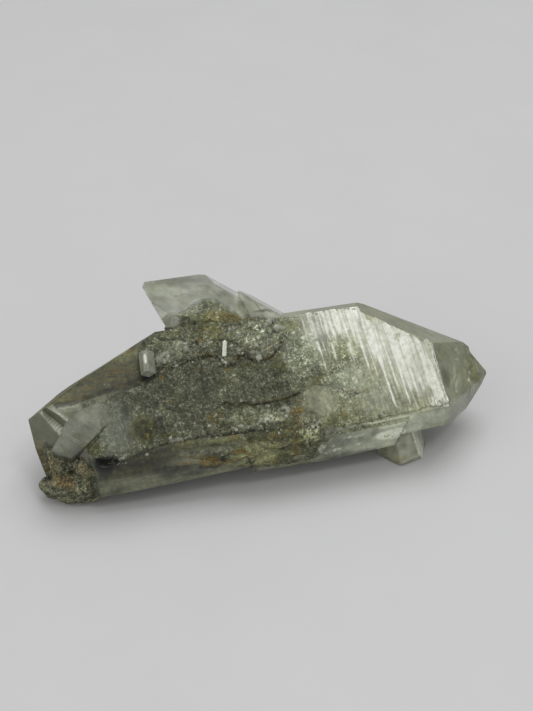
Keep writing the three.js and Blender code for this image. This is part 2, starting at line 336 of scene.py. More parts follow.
# Fine triangulation of flat-faced solids

# Points nearer than this are joined.
WELD = 0.002
# Inner points stand in rows this far apart, are shifted by up to this much and keep this far from the
# edges, all as shares of their spacing.
ROW_STEP, JITTER, EDGE_GAP = 0.87, 0.22, 0.45


def inside_loops(points, a, b):
    """Which 2-D points lie inside the loops made of segments a to b, by crossings."""
    inside = np.zeros(len(points), bool)
    for (x0, y0), (x1, y1) in zip(a, b):
        if y0 == y1:
            continue
        crosses = (points[:, 1] > y0) != (points[:, 1] > y1)
        x = x0 + (points[:, 1] - y0) * (x1 - x0) / (y1 - y0)
        inside ^= crosses & (points[:, 0] < x)
    return inside


def segment_distance(points, a, b):
    """Distance from each 2-D point to the nearest of the segments a to b."""
    best = np.full(len(points), 1e9)
    for p, q in zip(a, b):
        d = q - p
        along = np.clip(((points - p) @ d) / max(d @ d, 1e-12), 0, 1)
        best = np.minimum(best, np.linalg.norm(points - p - along[:, None] * d, axis=1))
    return best


def triangles_within(points, segments, starts, ends, nearness):
    """Triangles between 2-D points inside the loops of segments from starts to ends."""
    made = delaunay_2d_cdt([Vector(p) for p in points], segments, [], 0, nearness)
    where = np.array([tuple(p) for p in made[0]])
    source = np.array([ids[0] if ids else -1 for ids in made[3]])
    tris = np.array([t for t in made[2] if len(t) == 3])
    tris = source[tris[inside_loops(where[tris].mean(axis=1), starts, ends)]]
    return tris[(tris >= 0).all(axis=1)]


class Skin:
    """Fine triangles over a flat-faced solid: points, triangles and the flat face of each triangle,
    and for each point its outward direction and its distance from the nearest edge."""

    def __init__(self, low, spacing):
        bm = self.clean_mesh(low)
        self.verts = [np.array(v.co) for v in bm.verts]
        groups = self.flat_groups(bm)
        self.face_normals, self.face_spacing, rims = [], [], []
        for group in groups:
            normal = sum((np.array(f.normal) * f.calc_area() for f in group), np.zeros(3))
            normal = normal / np.linalg.norm(normal)
            middle = np.mean([f.calc_center_median() for f in group], axis=0)
            self.face_normals.append(normal)
            self.face_spacing.append(spacing(normal, middle))
            inside = set(group)
            edges = sorted({e for f in group for e in f.edges}, key=lambda e: e.index)
            rims.append([e for e in edges if sum(f in inside for f in e.link_faces) == 1])
        chains = self.split_edges(groups, rims)
        rows = [self.fill(k, rims[k], chains) for k in range(len(groups))]
        bm.free()
        self.finish(rows)

    @staticmethod
    def clean_mesh(low):
        bm = bmesh.new()
        bm.from_mesh(low.data)
        bmesh.ops.remove_doubles(bm, verts=bm.verts, dist=WELD)
        bmesh.ops.triangulate(bm, faces=bm.faces)
        bmesh.ops.dissolve_degenerate(bm, edges=bm.edges, dist=WELD)
        bmesh.ops.triangulate(bm, faces=bm.faces)
        bm.normal_update()
        for parts in (bm.verts, bm.edges, bm.faces):
            parts.index_update()
        return bm

    def split_edges(self, groups, rims):
        """New points along the rims of the flat faces, and for each edge its points in order."""
        owner = {f: k for k, g in enumerate(groups) for f in g}
        chains = {}
        for e in (e for edges in rims for e in edges):
            if e in chains:
                continue
            step = min(self.face_spacing[owner[f]] for f in e.link_faces)
            count = max(1, round(e.calc_length() / step))
            a, b = (np.array(v.co) for v in e.verts)
            start = len(self.verts)
            self.verts.extend(a + (b - a) * i / count for i in range(1, count))
            chains[e] = [e.verts[0].index, *range(start, len(self.verts)), e.verts[1].index]
        return chains

    @staticmethod
    def flat_groups(bm):
        """Faces of the mesh in groups that touch and lie in one plane."""
        groups, seen = [], set()
        for first in bm.faces:
            if first in seen:
                continue
            seen.add(first)
            group, queue = [], [first]
            while queue:
                f = queue.pop()
                group.append(f)
                for e in f.edges:
                    for g in e.link_faces:
                        if g not in seen and g.normal.dot(first.normal) > 0.99995:
                            seen.add(g)
                            queue.append(g)
            groups.append(group)
        return groups

    def fill(self, face, edges, chains):
        """Triangles of one flat face, and the edge distance of its inner points."""
        normal, step = self.face_normals[face], self.face_spacing[face]
        basis = flat_basis(normal)
        ring = sorted({i for e in edges for i in chains[e]})
        place = {i: k for k, i in enumerate(ring)}
        flat = np.array([self.verts[i] for i in ring]) @ basis.T
        segments = [(place[a], place[b]) for e in edges for a, b in zip(chains[e], chains[e][1:])]
        ends = [(place[chains[e][0]], place[chains[e][-1]]) for e in edges]
        a, b = flat[[p for p, _ in ends]], flat[[q for _, q in ends]]
        low, high = flat.min(0), flat.max(0)
        grid = [np.zeros((0, 2))]
        for k, y in enumerate(np.arange(low[1], high[1], step * ROW_STEP)):
            x = np.arange(low[0] + (k % 2) * step / 2, high[0], step)
            grid.append(np.stack([x, np.full_like(x, y)], axis=-1))
        grid = np.concatenate(grid)
        cell = flat_points(grid[:, 0] * 50 // 1, grid[:, 1] * 50 // 1)
        grid = grid + JITTER * step * np.stack([lattice(cell, 3), lattice(cell, 4)], axis=-1)
        grid = grid[inside_loops(grid, a, b)]
        distance = segment_distance(grid, a, b)
        inner = distance > EDGE_GAP * step
        grid, distance = grid[inner], distance[inner]
        tris = triangles_within(np.concatenate([flat, grid]), segments, a, b, 1e-5)
        start = len(self.verts)
        offset = normal @ self.verts[ring[0]]
        self.verts.extend(basis[0] * x + basis[1] * y + normal * offset for x, y in grid)
        ids = np.array([*ring, *range(start, start + len(grid))])
        return ids[tris], start, distance

    def finish(self, rows):
        """Join the flat faces' triangles and work out each point's direction."""
        self.verts = np.array(self.verts)
        self.edge_distance = np.zeros(len(self.verts))
        self.normals = np.zeros_like(self.verts)
        tris, faces = [], []
        for k, (found, start, distance) in enumerate(rows):
            p = self.verts[found]
            up = np.einsum("ij,j->i", np.cross(p[:, 1] - p[:, 0], p[:, 2] - p[:, 0]), self.face_normals[k])
            found = np.where((up < 0)[:, None], found[:, ::-1], found)
            found = found[np.abs(up) > 1e-9]
            tris.append(found)
            faces.append(np.full(len(found), k))
            self.edge_distance[start:start + len(distance)] = distance
            self.normals[np.unique(found)] += self.face_normals[k]
        self.tris, self.tri_face = np.concatenate(tris), np.concatenate(faces)
        length = np.linalg.norm(self.normals, axis=1, keepdims=True)
        self.normals = self.normals / np.maximum(length, 1e-9)


# Meshes


def keep_in_box(points):
    """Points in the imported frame, in millimetres, held inside the box of the solids."""
    low, high = np.array(CAD_LOW) / MM, np.array(CAD_HIGH) / MM
    inner_low = low + np.array([BOX_MARGIN, BOX_MARGIN, 0.0])
    return np.clip(points, inner_low, high - BOX_MARGIN)


def mesh_object(name, points, faces, material, slot, smooth=True, sharp=None, **values):
    """A piece from points in the layout frame, with its values for each point."""
    mesh = bpy.data.meshes.new(name)
    points = keep_in_box(np.asarray(points, float) + SHIFT) * MM
    faces = np.asarray(faces)
    mesh.vertices.add(len(points))
    mesh.vertices.foreach_set("co", points.astype(np.float32).ravel())
    mesh.loops.add(faces.size)
    mesh.loops.foreach_set("vertex_index", faces.astype(np.int32).ravel())
    mesh.polygons.add(len(faces))
    mesh.polygons.foreach_set("loop_start", np.arange(0, faces.size, faces.shape[1], dtype=np.int32))
    mesh.update(calc_edges=True)
    mesh.polygons.foreach_set("use_smooth", np.full(len(faces), smooth))
    if sharp is not None:
        mark_sharp(mesh, sharp)
    values.setdefault("tone", np.ones(len(points)))
    for key, value in values.items():
        mesh.attributes.new(key, "FLOAT", "POINT").data.foreach_set("value", np.asarray(value, np.float32))
    mesh.validate()
    mesh.materials.append(material)
    made = link(bpy.data.objects.new(name, mesh))
    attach(made, "root")
    return made


def mark_sharp(mesh, face_of_tri):
    """Edges between triangles of different flat faces are sharp."""
    loops = np.zeros(len(mesh.loops), np.int32)
    mesh.loops.foreach_get("edge_index", loops)
    owner = np.repeat(face_of_tri, 3)
    low = np.full(len(mesh.edges), 1 << 30)
    high = np.full(len(mesh.edges), -1)
    np.minimum.at(low, loops, owner)
    np.maximum.at(high, loops, owner)
    layer = mesh.attributes.new("sharp_edge", "BOOLEAN", "EDGE")
    layer.data.foreach_set("value", low != high)


# Materials


class Nodes:
    """Short forms for building a material's nodes."""

    def __init__(self, name):
        self.material = bpy.data.materials.new(name)
        self.material.use_nodes = True
        self.tree = self.material.node_tree
        self.tree.nodes.clear()

    def add(self, kind, inputs=(), output=0, **settings):
        node = self.tree.nodes.new("ShaderNode" + kind)
        for key, value in settings.items():
            setattr(node, key, value)
        for key, value in dict(inputs).items():
            self.put(node.inputs[key], value)
        return node.outputs[output]

    def put(self, socket, value):
        if isinstance(value, bpy.types.NodeSocket):
            self.tree.links.new(value, socket)
        else:
            socket.default_value = value

    def attribute(self, name):
        return self.add("Attribute", output="Fac", attribute_name=name)

    def place(self):
        return self.add("TexCoord", output="Object")

    def math(self, operation, *values):
        return self.add("Math", dict(enumerate(values)), operation=operation)

    def times(self, first, second):
        return self.math("MULTIPLY", first, second)

    def sum_of(self, first, share, second):
        """The first value times its share, plus the second value."""
        return self.math("MULTIPLY_ADD", first, share, second)

    def mix(self, share, first, second, blend="MIX"):
        node = self.tree.nodes.new("ShaderNodeMix")
        node.data_type, node.blend_type = "RGBA", blend
        for key, value in ((0, share), (6, first), (7, second)):
            self.put(node.inputs[key], value)
        return node.outputs[2]

    def noise(self, scale, detail=3.0, roughness=0.6):
        """Cloudy noise with scale features to the metre."""
        inputs = {"Vector": self.place(), "Scale": scale, "Detail": detail, "Roughness": roughness}
        return self.add("TexNoise", inputs)

    def grains(self, scale):
        """A value for each grain of a pattern with scale grains to the metre, and how near its rim is."""
        inputs = {"Vector": self.place(), "Scale": scale}
        value = self.add("SeparateColor", {0: self.add("TexVoronoi", inputs, "Color")})
        edge = self.add("TexVoronoi", inputs, feature="DISTANCE_TO_EDGE")
        return value, self.spread(edge, 0.02, 0.16, 1.0, 0.0)

    def specks(self, scale, share, size):
        """Small round dots in this share of the cells of a pattern with scale cells to the metre."""
        inputs = {"Vector": self.place(), "Scale": scale}
        chosen = self.add("SeparateColor", {0: self.add("TexVoronoi", inputs, "Color")})
        chosen = self.math("LESS_THAN", chosen, share)
        return self.times(chosen, self.math("LESS_THAN", self.add("TexVoronoi", inputs), size))

    def spread(self, value, low, high, to_low=0.0, to_high=1.0):
        """The value with low to high stretched to another range, and held at its ends."""
        inputs = {"Value": value, "From Min": low, "From Max": high, "To Min": to_low, "To Max": to_high}
        return self.add("MapRange", inputs)

    def dimmed(self, colour, tone):
        """The colour times a tone."""
        tone = self.add("CombineColor", {0: tone, 1: tone, 2: tone})
        return self.mix(1.0, colour, tone, "MULTIPLY")

    def bump(self, height, strength, distance, normal=None):
        inputs = {"Height": height, "Strength": strength, "Distance": distance}
        if normal is not None:
            inputs["Normal"] = normal
        return self.add("Bump", inputs)

    def finish(self, inputs, volume=None):
        surface = self.add("BsdfPrincipled", inputs)
        out = self.tree.nodes.new("ShaderNodeOutputMaterial")
        self.tree.links.new(surface, out.inputs["Surface"])
        if volume:
            self.tree.links.new(self.add("VolumeAbsorption", volume), out.inputs["Volume"])
        return self.material


def rgb(r, g, b):
    """Linear colour from its 0 to 255 display values."""
    parts = [x / 255 for x in (r, g, b)]
    return tuple(x / 12.92 if x <= 0.04045 else ((x + 0.055) / 1.055) ** 2.4 for x in parts) + (1.0,)


# Colours, given as they look on a display
QUARTZ_IOR = 1.544
GRAIN_PIT, GRAIN_DARK, GRAIN_MIDDLE, GRAIN_LIGHT = (rgb(*c) for c in (
    (46, 50, 35), (78, 82, 61), (118, 121, 95), (184, 187, 160)))
OLIVE_DARK, OLIVE_LIGHT = rgb(60, 64, 28), rgb(112, 111, 66)
RUST_DARK, RUST_LIGHT = rgb(86, 71, 31), rgb(168, 145, 77)
# Frost colours, also used for painted highlights, glints and reflections.
FROST_AND_HIGHLIGHT_DARK, FROST_AND_HIGHLIGHT_LIGHT = rgb(206, 208, 192), rgb(247, 248, 238)
COOL = (0.97, 1.0, 1.18, 1.0)
# Colour of the painted glints on the crust.
PAINTED_GLINT_SPECK = rgb(198, 200, 180)


def quartz_material(name, dark, light, glass=None, gloss=(0.12, 0.3)):
    """Quartz from smooth to granular, with olive, rusty and frosted places, painted highlights and glints,
    and clear ones with glass.
    """
    n = Nodes(name)
    crust, rust, olive, tone, frost, cool = (
        n.attribute(a) for a in ("crust", "rust", "olive", "tone", "frost", "cool"))
    clouds, medium, small = n.noise(150, 4.0, 0.62), n.noise(950, 4.0, 0.7), n.noise(4200, 2.0, 0.7)
    grain, gap = n.grains(3100)
    lump, _ = n.grains(1250)
    shade = n.sum_of(grain, 0.75, n.times(medium, 0.5))
    shade = n.sum_of(lump, 0.4, shade)
    plain = n.mix(n.spread(clouds, 0.36, 0.66), dark, light)
    plain = n.mix(n.times(n.spread(small, 0.52, 0.68), 0.2), plain, GRAIN_LIGHT)
    granular = n.mix(n.spread(shade, 0.4, 0.95), GRAIN_DARK, GRAIN_MIDDLE)
    granular = n.mix(n.spread(shade, 1.0, 1.3, 0.0, 0.65), granular, GRAIN_LIGHT)
    granular = n.mix(n.times(gap, 0.5), granular, GRAIN_PIT)
    colour = n.mix(crust, plain, granular)
    colour = n.mix(cool, colour, n.mix(1.0, colour, COOL, "MULTIPLY"))
    stain = n.mix(n.spread(medium, 0.4, 0.6), OLIVE_DARK, OLIVE_LIGHT)
    colour = n.mix(n.times(olive, 0.75), colour, stain)
    colour = n.dimmed(colour, tone)
    stain = n.mix(n.spread(small, 0.42, 0.6), RUST_DARK, RUST_LIGHT)
    colour = n.mix(n.times(rust, n.spread(medium, 0.35, 0.55, 0.45, 0.95)), colour, stain)
    colour = n.mix(frost, colour, n.mix(n.spread(medium, 0.3, 0.6), FROST_AND_HIGHLIGHT_DARK, FROST_AND_HIGHLIGHT_LIGHT))
    # Painted glints: a few tiny light specks on the granular crust.
    colour = n.mix(n.times(n.specks(2300, 0.03, 0.25), crust), colour, PAINTED_GLINT_SPECK)
    rough = n.sum_of(crust, 0.45, n.spread(clouds, 0.3, 0.7, *gloss))
    rough = n.sum_of(frost, 0.15, rough)
    lift = n.sum_of(grain, 0.5, n.times(gap, -0.6))
    relief = n.bump(n.noise(260, 2.0), 0.12, 0.0006, n.bump(lift, n.times(crust, 0.9), 0.0003))
    inputs = {"Base Color": colour, "Roughness": rough, "Normal": relief, "IOR": QUARTZ_IOR}
    if glass:
        inputs["Transmission Weight"] = n.attribute("clear")
    return n.finish(inputs, glass)


def rock_material():
    """Dark green and brown rock with ochre films and pale grains."""
    n = Nodes("matrix_rock")
    rust, tone = n.attribute("rust"), n.attribute("tone")
    medium, small = n.noise(620, 4.0, 0.7), n.noise(2100, 3.0, 0.75)
    colour = n.mix(n.spread(medium, 0.38, 0.62), rgb(40, 44, 30), rgb(112, 114, 84))
    colour = n.mix(n.times(n.spread(small, 0.5, 0.64), 0.8), colour, rgb(178, 176, 146))
    stain = n.mix(n.spread(small, 0.4, 0.6), rgb(84, 64, 34), rgb(166, 146, 98))
    colour = n.mix(n.times(rust, n.spread(medium, 0.4, 0.6, 0.2, 0.9)), colour, stain)
    colour = n.dimmed(colour, tone)
    relief = n.bump(small, 1.0, 0.0003, n.bump(medium, 0.8, 0.0006))
    rough = n.spread(n.noise(1500, 2.0), 0.3, 0.7, 0.95, 0.55)
    return n.finish({"Base Color": colour, "Roughness": rough, "Normal": relief, "IOR": 1.5})


# Faces of the main crystal as flat maps


class FaceMap:
    """Places along a direction (s), across a face (t) and out of it, in millimetres."""

    def __init__(self, plane, direction, middle):
        self.normal, offset = plane
        self.along = direction - self.normal * (self.normal @ direction)
        self.along /= np.linalg.norm(self.along)
        self.across = np.cross(self.normal, self.along)
        self.origin = middle + self.normal * (offset - self.normal @ middle)

    def seen(self, points):
        """Where the viewer's line of sight through each point meets the face."""
        rel = points - self.origin
        rel = rel - ((rel @ self.normal) / (SIGHT @ self.normal))[:, None] * SIGHT
        return rel @ self.along, rel @ self.across

    def place(self, s, t, lift):
        """Points at these places along and across the face, and this far out of it."""
        s, t, lift = (np.asarray(v, float)[..., None] for v in (s, t, lift))
        return self.origin + s * self.along + t * self.across + lift * self.normal


FRONT_MAP, LOWER_MAP, TOP_MAP = (
    FaceMap(plane, AXIS, MAIN_CENTRE) for plane in main_planes([FRONT, LOWER_FRONT, TOP]))

# Places on the front face as (s, t, half length, half width, strength): ochre, olive, lighter or darker
# than the rest, smoother, cooler in colour, and whitish.
# Some of the darker places are painted shade, marked below, and many whitish ones are painted glints.
RUST_SPOTS = [
    (5.2, -8.8, 1.5, 0.6, 1.4), (6, -6.8, 0.4, 0.4, 1), (5.3, -11.4, 0.4, 1.7, 0.8),
    (-7.4, 2.3, 0.5, 0.4, 1), (-21.3, 3.1, 0.4, 0.5, 1), (-20.5, -2.3, 0.35, 0.4, 0.9),
    (4.8, 6.3, 0.3, 0.8, 0.9), (10.8, -3.6, 0.6, 0.3, 1), (21.1, -3.6, 0.4, 0.4, 0.8),
    (21.2, -6.8, 0.3, 0.6, 0.8), (22.7, -11, 0.35, 0.3, 0.7), (9.3, 7, 0.25, 0.4, 0.6),
    (14.4, -11, 0.35, 1.2, 0.7), (-26.1, -9, 0.35, 0.6, 0.9), (-20.8, -9.7, 0.5, 0.3, 0.8),
    (-12.2, -7.6, 1.4, 1.1, 0.9), (-10.8, -6.2, 0.3, 1.0, 0.8), (-37, 3.4, 1.6, 0.3, 0.4),
    (-3, 12.7, 3.2, 0.5, 0.7), (-0.8, 9.8, 0.5, 0.4, 0.6), (-11, 11.4, 0.7, 0.4, 0.5),
    (-32, 4.3, 2.6, 0.3, 0.35), (-13.6, 3.4, 0.3, 0.9, 0.5), (-30, 6.2, 1.4, 0.4, 0.3),
    (-47, -7.2, 0.8, 0.5, 0.7), (14.8, -8.3, 0.7, 0.25, 0.5), (3, 3.1, 1.6, 0.2, 0.6),
    (-5, 4.2, 1.4, 0.3, 0.5), (-29.6, -10.3, 0.3, 0.5, 0.7), (-5, -9.6, 0.5, 0.3, 0.6),
    (-25.2, -6.4, 0.3, 0.6, 0.6), (-17.6, 3.4, 0.3, 0.4, 0.5), (0.5, 3.3, 2, 0.22, 0.7),
    (-4, -5.6, 2.4, 0.2, 0.45), (1.4, -5.8, 2.6, 0.2, 0.5), (17, -6.9, 2, 0.2, 0.5),
    (10, -13.4, 0.5, 0.5, 0.6), (3.4, -13, 0.8, 0.8, 0.5),
]
OLIVE_SPOTS = [
    (-27, -7.4, 2.4, 2.2, 1.3), (-17, 11.3, 1.2, 0.5, 1), (3.5, 1.3, 1.6, 1.3, 0.8),
    (14, -12, 4.5, 1.2, 0.5), (22, -12, 2.2, 1.1, 0.35), (-2.8, 2.6, 2.2, 0.5, 1),
    (-30, 5.5, 6.5, 2.2, 1.2), (-22.4, -9.6, 1.6, 0.8, 0.9), (18, -9.5, 3, 1.6, 0.2), (4, -12, 4, 1.8, 0.9),
    (-10, 11, 3, 1.6, 0.6), (11, -2.4, 1.4, 0.7, 0.9), (-41, 2.4, 4, 1.6, 0.9), (-38, 5, 5, 2, 0.8),
    (-37.6, -9.2, 2, 1.6, 0.9), (5, -11.8, 3, 1.5, 0.7), (6.4, 9.6, 3, 1.2, 0.5),
    (-11.4, -9, 2.4, 0.8, 0.6), (23.5, -4, 1.6, 3, 0.3),
]
SHADES = [
    (-30, -2.4, 0.8, 2.2, -0.24), (-24, -1, 3.4, 2.4, -0.15), (-26.8, -7.6, 2.4, 2.2, -0.18),
    (-22.8, -7.4, 1.6, 2.4, -0.2), (-16, 0, 5, 4, -0.09), (-16, -7, 4.4, 2.2, -0.1),
    (0.5, -0.6, 4.6, 4.2, -0.02), (-5, -8, 4.4, 1.8, 0.14), (0, -9.2, 3, 1.1, 0.43),
    (-11, -11.8, 10, 0.9, -0.5), (-1, 8.5, 4.4, 3, 0.44), (10.6, -7.4, 3.8, 3.4, -0.06),
    (18, -4.4, 3.6, 3, 0.02), (16.5, -12, 4.4, 1.2, -0.12), (10.6, -1.6, 2.2, 1.2, -0.16),
    # (-23, 3.2) is painted shadow under the tablet crystal, (-4, 4.6) painted shadow under the upper
    # crust's lobe, and (-30.4, 0.6) painted shade along the shoulder groove.
    (-23, 3.2, 2.2, 1.0, -0.35), (-4, 4.6, 1.4, 0.6, -0.3), (-30.4, 0.6, 2.6, 0.7, -0.16),
    (4.6, -11.6, 3, 1.6, 0.09), (-10, -9.6, 1.4, 0.9, -0.25), (8.4, -10.8, 1.2, 1.4, -0.18),
    (-23, 11, 1.6, 0.7, -0.2), (-16.6, 8, 3.4, 2, 0.12), (-7.2, 0, 0.9, 3, 0.12),
    (-20, 1.6, 1.4, 1.4, -0.12), (-31.5, -6, 3.6, 4.4, -0.01), (-33, 5, 9, 3, -0.3),
    # (-27.4, 2) is painted shade along the shoulder groove.
    (-27.4, 2, 2, 0.5, -0.3), (-12, -7.4, 1.6, 1.8, 0.09), (-17, 11, 5, 1.6, 0.24), (-10.5, 10, 2, 2, 0.06),
    # (-35.4, -13) is painted shade in the hollow at the lower left.
    (-35.4, -13, 2.8, 1.4, -0.7), (3, -3.4, 2, 1.2, -0.06), (14, -5.2, 1.2, 1.4, -0.14),
    (-14, 11.6, 2, 0.6, -0.1), (-8, 10.5, 3, 2, 0.1), (4, 9, 4, 3, 0.1), (3, -6.6, 3, 0.5, -0.15),
    # (-24.6, 4.4) is painted shadow under the tablet crystal.
    (-24.6, 4.4, 1, 0.8, -0.3), (8, 5, 4, 6.4, 0.26), (12, 9, 1.5, 2.4, 0.08), (-10, 9.6, 3, 2.6, 0.14),
    (2, 8, 4, 4, 0.1), (-34.4, -8, 2, 3, 0.1), (-28, 1, 1.4, 1, 0.08), (-25, 0.5, 1.2, 1, 0.08),
    (28, -10, 3, 3, -0.06), (18, 5.5, 2.6, 4.4, 0.26),
]
SMOOTH_SPOTS = [
    (10.6, -7.6, 3.6, 3.4, 0.8), (18, -4.5, 4, 3, 0.45), (19, -9.5, 5, 3.4, 0.4), (13, 4, 3, 5, 0.35),
    (-17, 8.4, 3.4, 1.8, 0.45), (7, 9, 3, 2, 0.3), (-32, -6, 4.4, 6, 0.45), (-34.4, -2, 2, 3.4, 0.7),
    (0, 5, 2.6, 1.6, 0.3),
]
COOL_SPOTS = [
    (-32, -5.5, 4.5, 6, 1), (-25, -1, 5, 4, 0.35), (-16, 0, 6, 5, 0.2), (-17, 8.4, 3.4, 2, 0.35),
    (-15, -6, 3, 2, 0.2), (-40, -4, 6, 7, 0.3), (-11, 4, 3, 2, 0.3), (9, 5, 5, 7, 0.7), (18, -4, 5, 4, 0.7),
    (23, -9, 4, 5, 0.7), (14, 8, 4, 6, 0.7), (0, 8.5, 6, 3.4, 0.6),
]
# Whitish places: partly frost and white crust, and many painted glints.
WHITE_SPOTS = [
    (-0.2, -9.2, 3.0, 1.0, 1.1), (3, -8.2, 1.4, 0.7, 0.8), (7.6, -13.2, 2.2, 1.1, 1.1),
    (8.6, -11, 0.8, 0.8, 0.6), (-13.6, -8.4, 0.8, 0.35, 0.9), (-23.6, -4.7, 0.7, 0.4, 0.8),
    (-22, -6.2, 0.35, 0.9, 0.6), (-17.5, 3, 0.8, 0.6, 0.6), (-11.6, 8, 0.9, 0.5, 0.7),
    (-14.6, 9.7, 0.9, 0.25, 0.9), (-4.4, 5.8, 1.2, 0.45, 0.7), (2, 11.4, 3, 0.4, 0.6),
    (-20.5, 7, 1.4, 1.0, 0.6), (0.6, 6.8, 2.4, 1.2, 0.4), (-33.4, -12.3, 1.6, 0.25, 0.7),
    (-6, 7.6, 1.4, 1, 0.35), (18.4, -8.6, 0.3, 0.9, 0.7), (17.4, -1.2, 0.3, 0.6, 0.7),
    (8, 11, 0.5, 0.5, 0.6), (6.4, 5.4, 0.4, 1.2, 0.4), (9.4, 5, 0.3, 1.6, 0.5), (-18, -10.6, 5, 0.4, 0.5),
    (-7, -10.2, 2, 0.3, 0.6), (5.4, 10.8, 1.4, 0.7, 0.5), (7, -10, 0.8, 1.2, 0.35),
    (-20, -6.6, 0.5, 1.4, 0.4), (-27.4, 1.2, 1.0, 0.4, 0.35), (-13.6, 6.2, 0.4, 0.4, 0.6),
    (-9.6, 7.4, 0.7, 0.4, 0.6), (-15, 9.3, 0.8, 0.3, 1), (-19.9, 7.7, 0.5, 0.3, 0.9),
    (-15, 4.3, 0.4, 0.3, 0.9), (-11.8, 8.1, 0.6, 0.4, 0.9), (-9.9, 6.7, 0.5, 0.3, 0.9),
    (-3.8, 5.9, 0.5, 0.4, 0.9), (-0.9, 6.5, 0.5, 0.3, 0.9),
]
# On the tip, seen along the line of sight to the front face: shades, olive and white places, the white ones
# painted glints.
TIP_SHADES = [
    (38.4, -7.2, 0.9, 2.2, -0.18), (40.5, -8, 1.4, 2.9, 0.12), (43.5, -6.4, 1.0, 4.6, 0.03),
    (46, -7, 1.8, 3.4, 0.07), (40.4, -2, 3, 2.2, -0.04), (37.2, -11, 1, 2.4, -0.06),
    (40, -12.6, 2, 1, 0.08),
]
TIP_OLIVE = [
    (46, -7, 1.8, 3.4, 0.9), (43.4, -6, 1.4, 5, 0.5), (38.4, -7.2, 1, 2.4, 0.5), (39, -1.6, 4, 2.4, 0.35),
]
TIP_WHITE = [
    (42.6, -1.7, 0.5, 0.25, 0.3), (43.3, -2.4, 0.35, 0.25, 0.3), (44.3, -8.7, 0.25, 0.3, 0.7),
    (44.9, -7.1, 0.2, 0.3, 0.4), (44.4, -4.3, 0.3, 0.25, 0.2), (47, -6.6, 0.2, 1.2, 0.3),
    (40, -11, 0.3, 0.3, 0.35), (42.4, -3.6, 0.6, 0.2, 0.25),
]
# Cracks on the front face, each as a line, its half width and its depth, which also sets their painted
# shade.
CRACKS = [
    ([(-10.5, -4.2), (-8, -5), (-5, -5.2), (-4, -6), (0, -6.1), (4, -5.7), (6.6, -5.2)], 0.12, 0.25),
    ([(11, -4), (13, -4.6), (15, -5.5), (17, -7.3), (20, -7.2), (21, -6.5)], 0.08, 0.12),
    ([(6.6, -6.3), (7.5, -4.8), (10, -3.8), (11, -4)], 0.08, 0.12),
    ([(-24, -4.2), (-22.4, -6), (-20.5, -8.2), (-20, -10)], 0.08, 0.12),
    ([(-28.4, 1.5), (-28.2, -2), (-28.8, -4.8)], 0.08, 0.1),
    ([(-2.9, 4.4), (-2, 3.3), (0, 3.1), (2.2, 3.4), (4, 5), (5, 6.2)], 0.14, 0.25),
    ([(-17, 5.0), (-12, 5.4), (-9.5, 6), (-8.6, 4)], 0.08, 0.15),
    ([(14.2, -11), (14.6, -9.2), (16, -8.2), (19, -7.4)], 0.08, 0.12),
    ([(-36, 1.0), (-32, 0.9), (-28.5, 1.8)], 0.1, 0.1),
    ([(-34.2, -5.2), (-36, -7.2), (-38.2, -9.1)], 0.12, 0.16),
]
# Dark grooves between the shoulder, the flat left crystal and the crust; their darkness is painted shade
# that grows with their depth.
GROOVES = [
    ([(-43.6, 1.0), (-39.6, 1.0), (-35.3, 1.8), (-31.1, 2.4), (-28, 2.8), (-25.8, 3.3), (-23.5, 3.8)],
     0.42, 0.5),
    ([(-33, 0.9), (-30, 1.3), (-26, 2)], 0.3, 0.2),
    ([(-33, 7.5), (-31, 6.2), (-28.5, 5.4), (-26, 5)], 0.2, 0.12),
    ([(-35.2, -6.2), (-36.6, -7.8), (-38, -9.1), (-39.5, -10.4)], 0.4, 0.35),
]
# The same kinds of places on the lower face; among them painted shade and shadow, and painted glints,
# marked below.
LOWER_RUST = [
    (-14.3, -2, 1.7, 0.9, 1.3), (-19, -0.5, 3, 0.35, 0.9), (-8, -0.9, 1.8, 0.7, 0.9),
    (3.5, -2, 0.8, 2.4, 0.7), (-16, -1.4, 1.4, 0.4, 0.9), (-11.4, -2.4, 1.6, 0.35, 0.9),
    (-5.6, -1.8, 1.2, 0.4, 0.8), (-1, 1.4, 1.4, 0.4, 0.5), (3, 3, 1.2, 1.6, 0.6), (-9, 2.2, 1.0, 0.6, 0.6),
    (-2, -4, 3, 0.8, 0.5), (-11, -2.6, 3, 0.4, 0.7),
]
LOWER_OLIVE = [
    (-31, 2.4, 8, 4, 1), (-16, 3, 9, 2, 0.9), (0, 0, 9, 5, 0.7), (14, 5, 9, 3, 0.5), (-8, -3.4, 5, 2, 0.8),
]
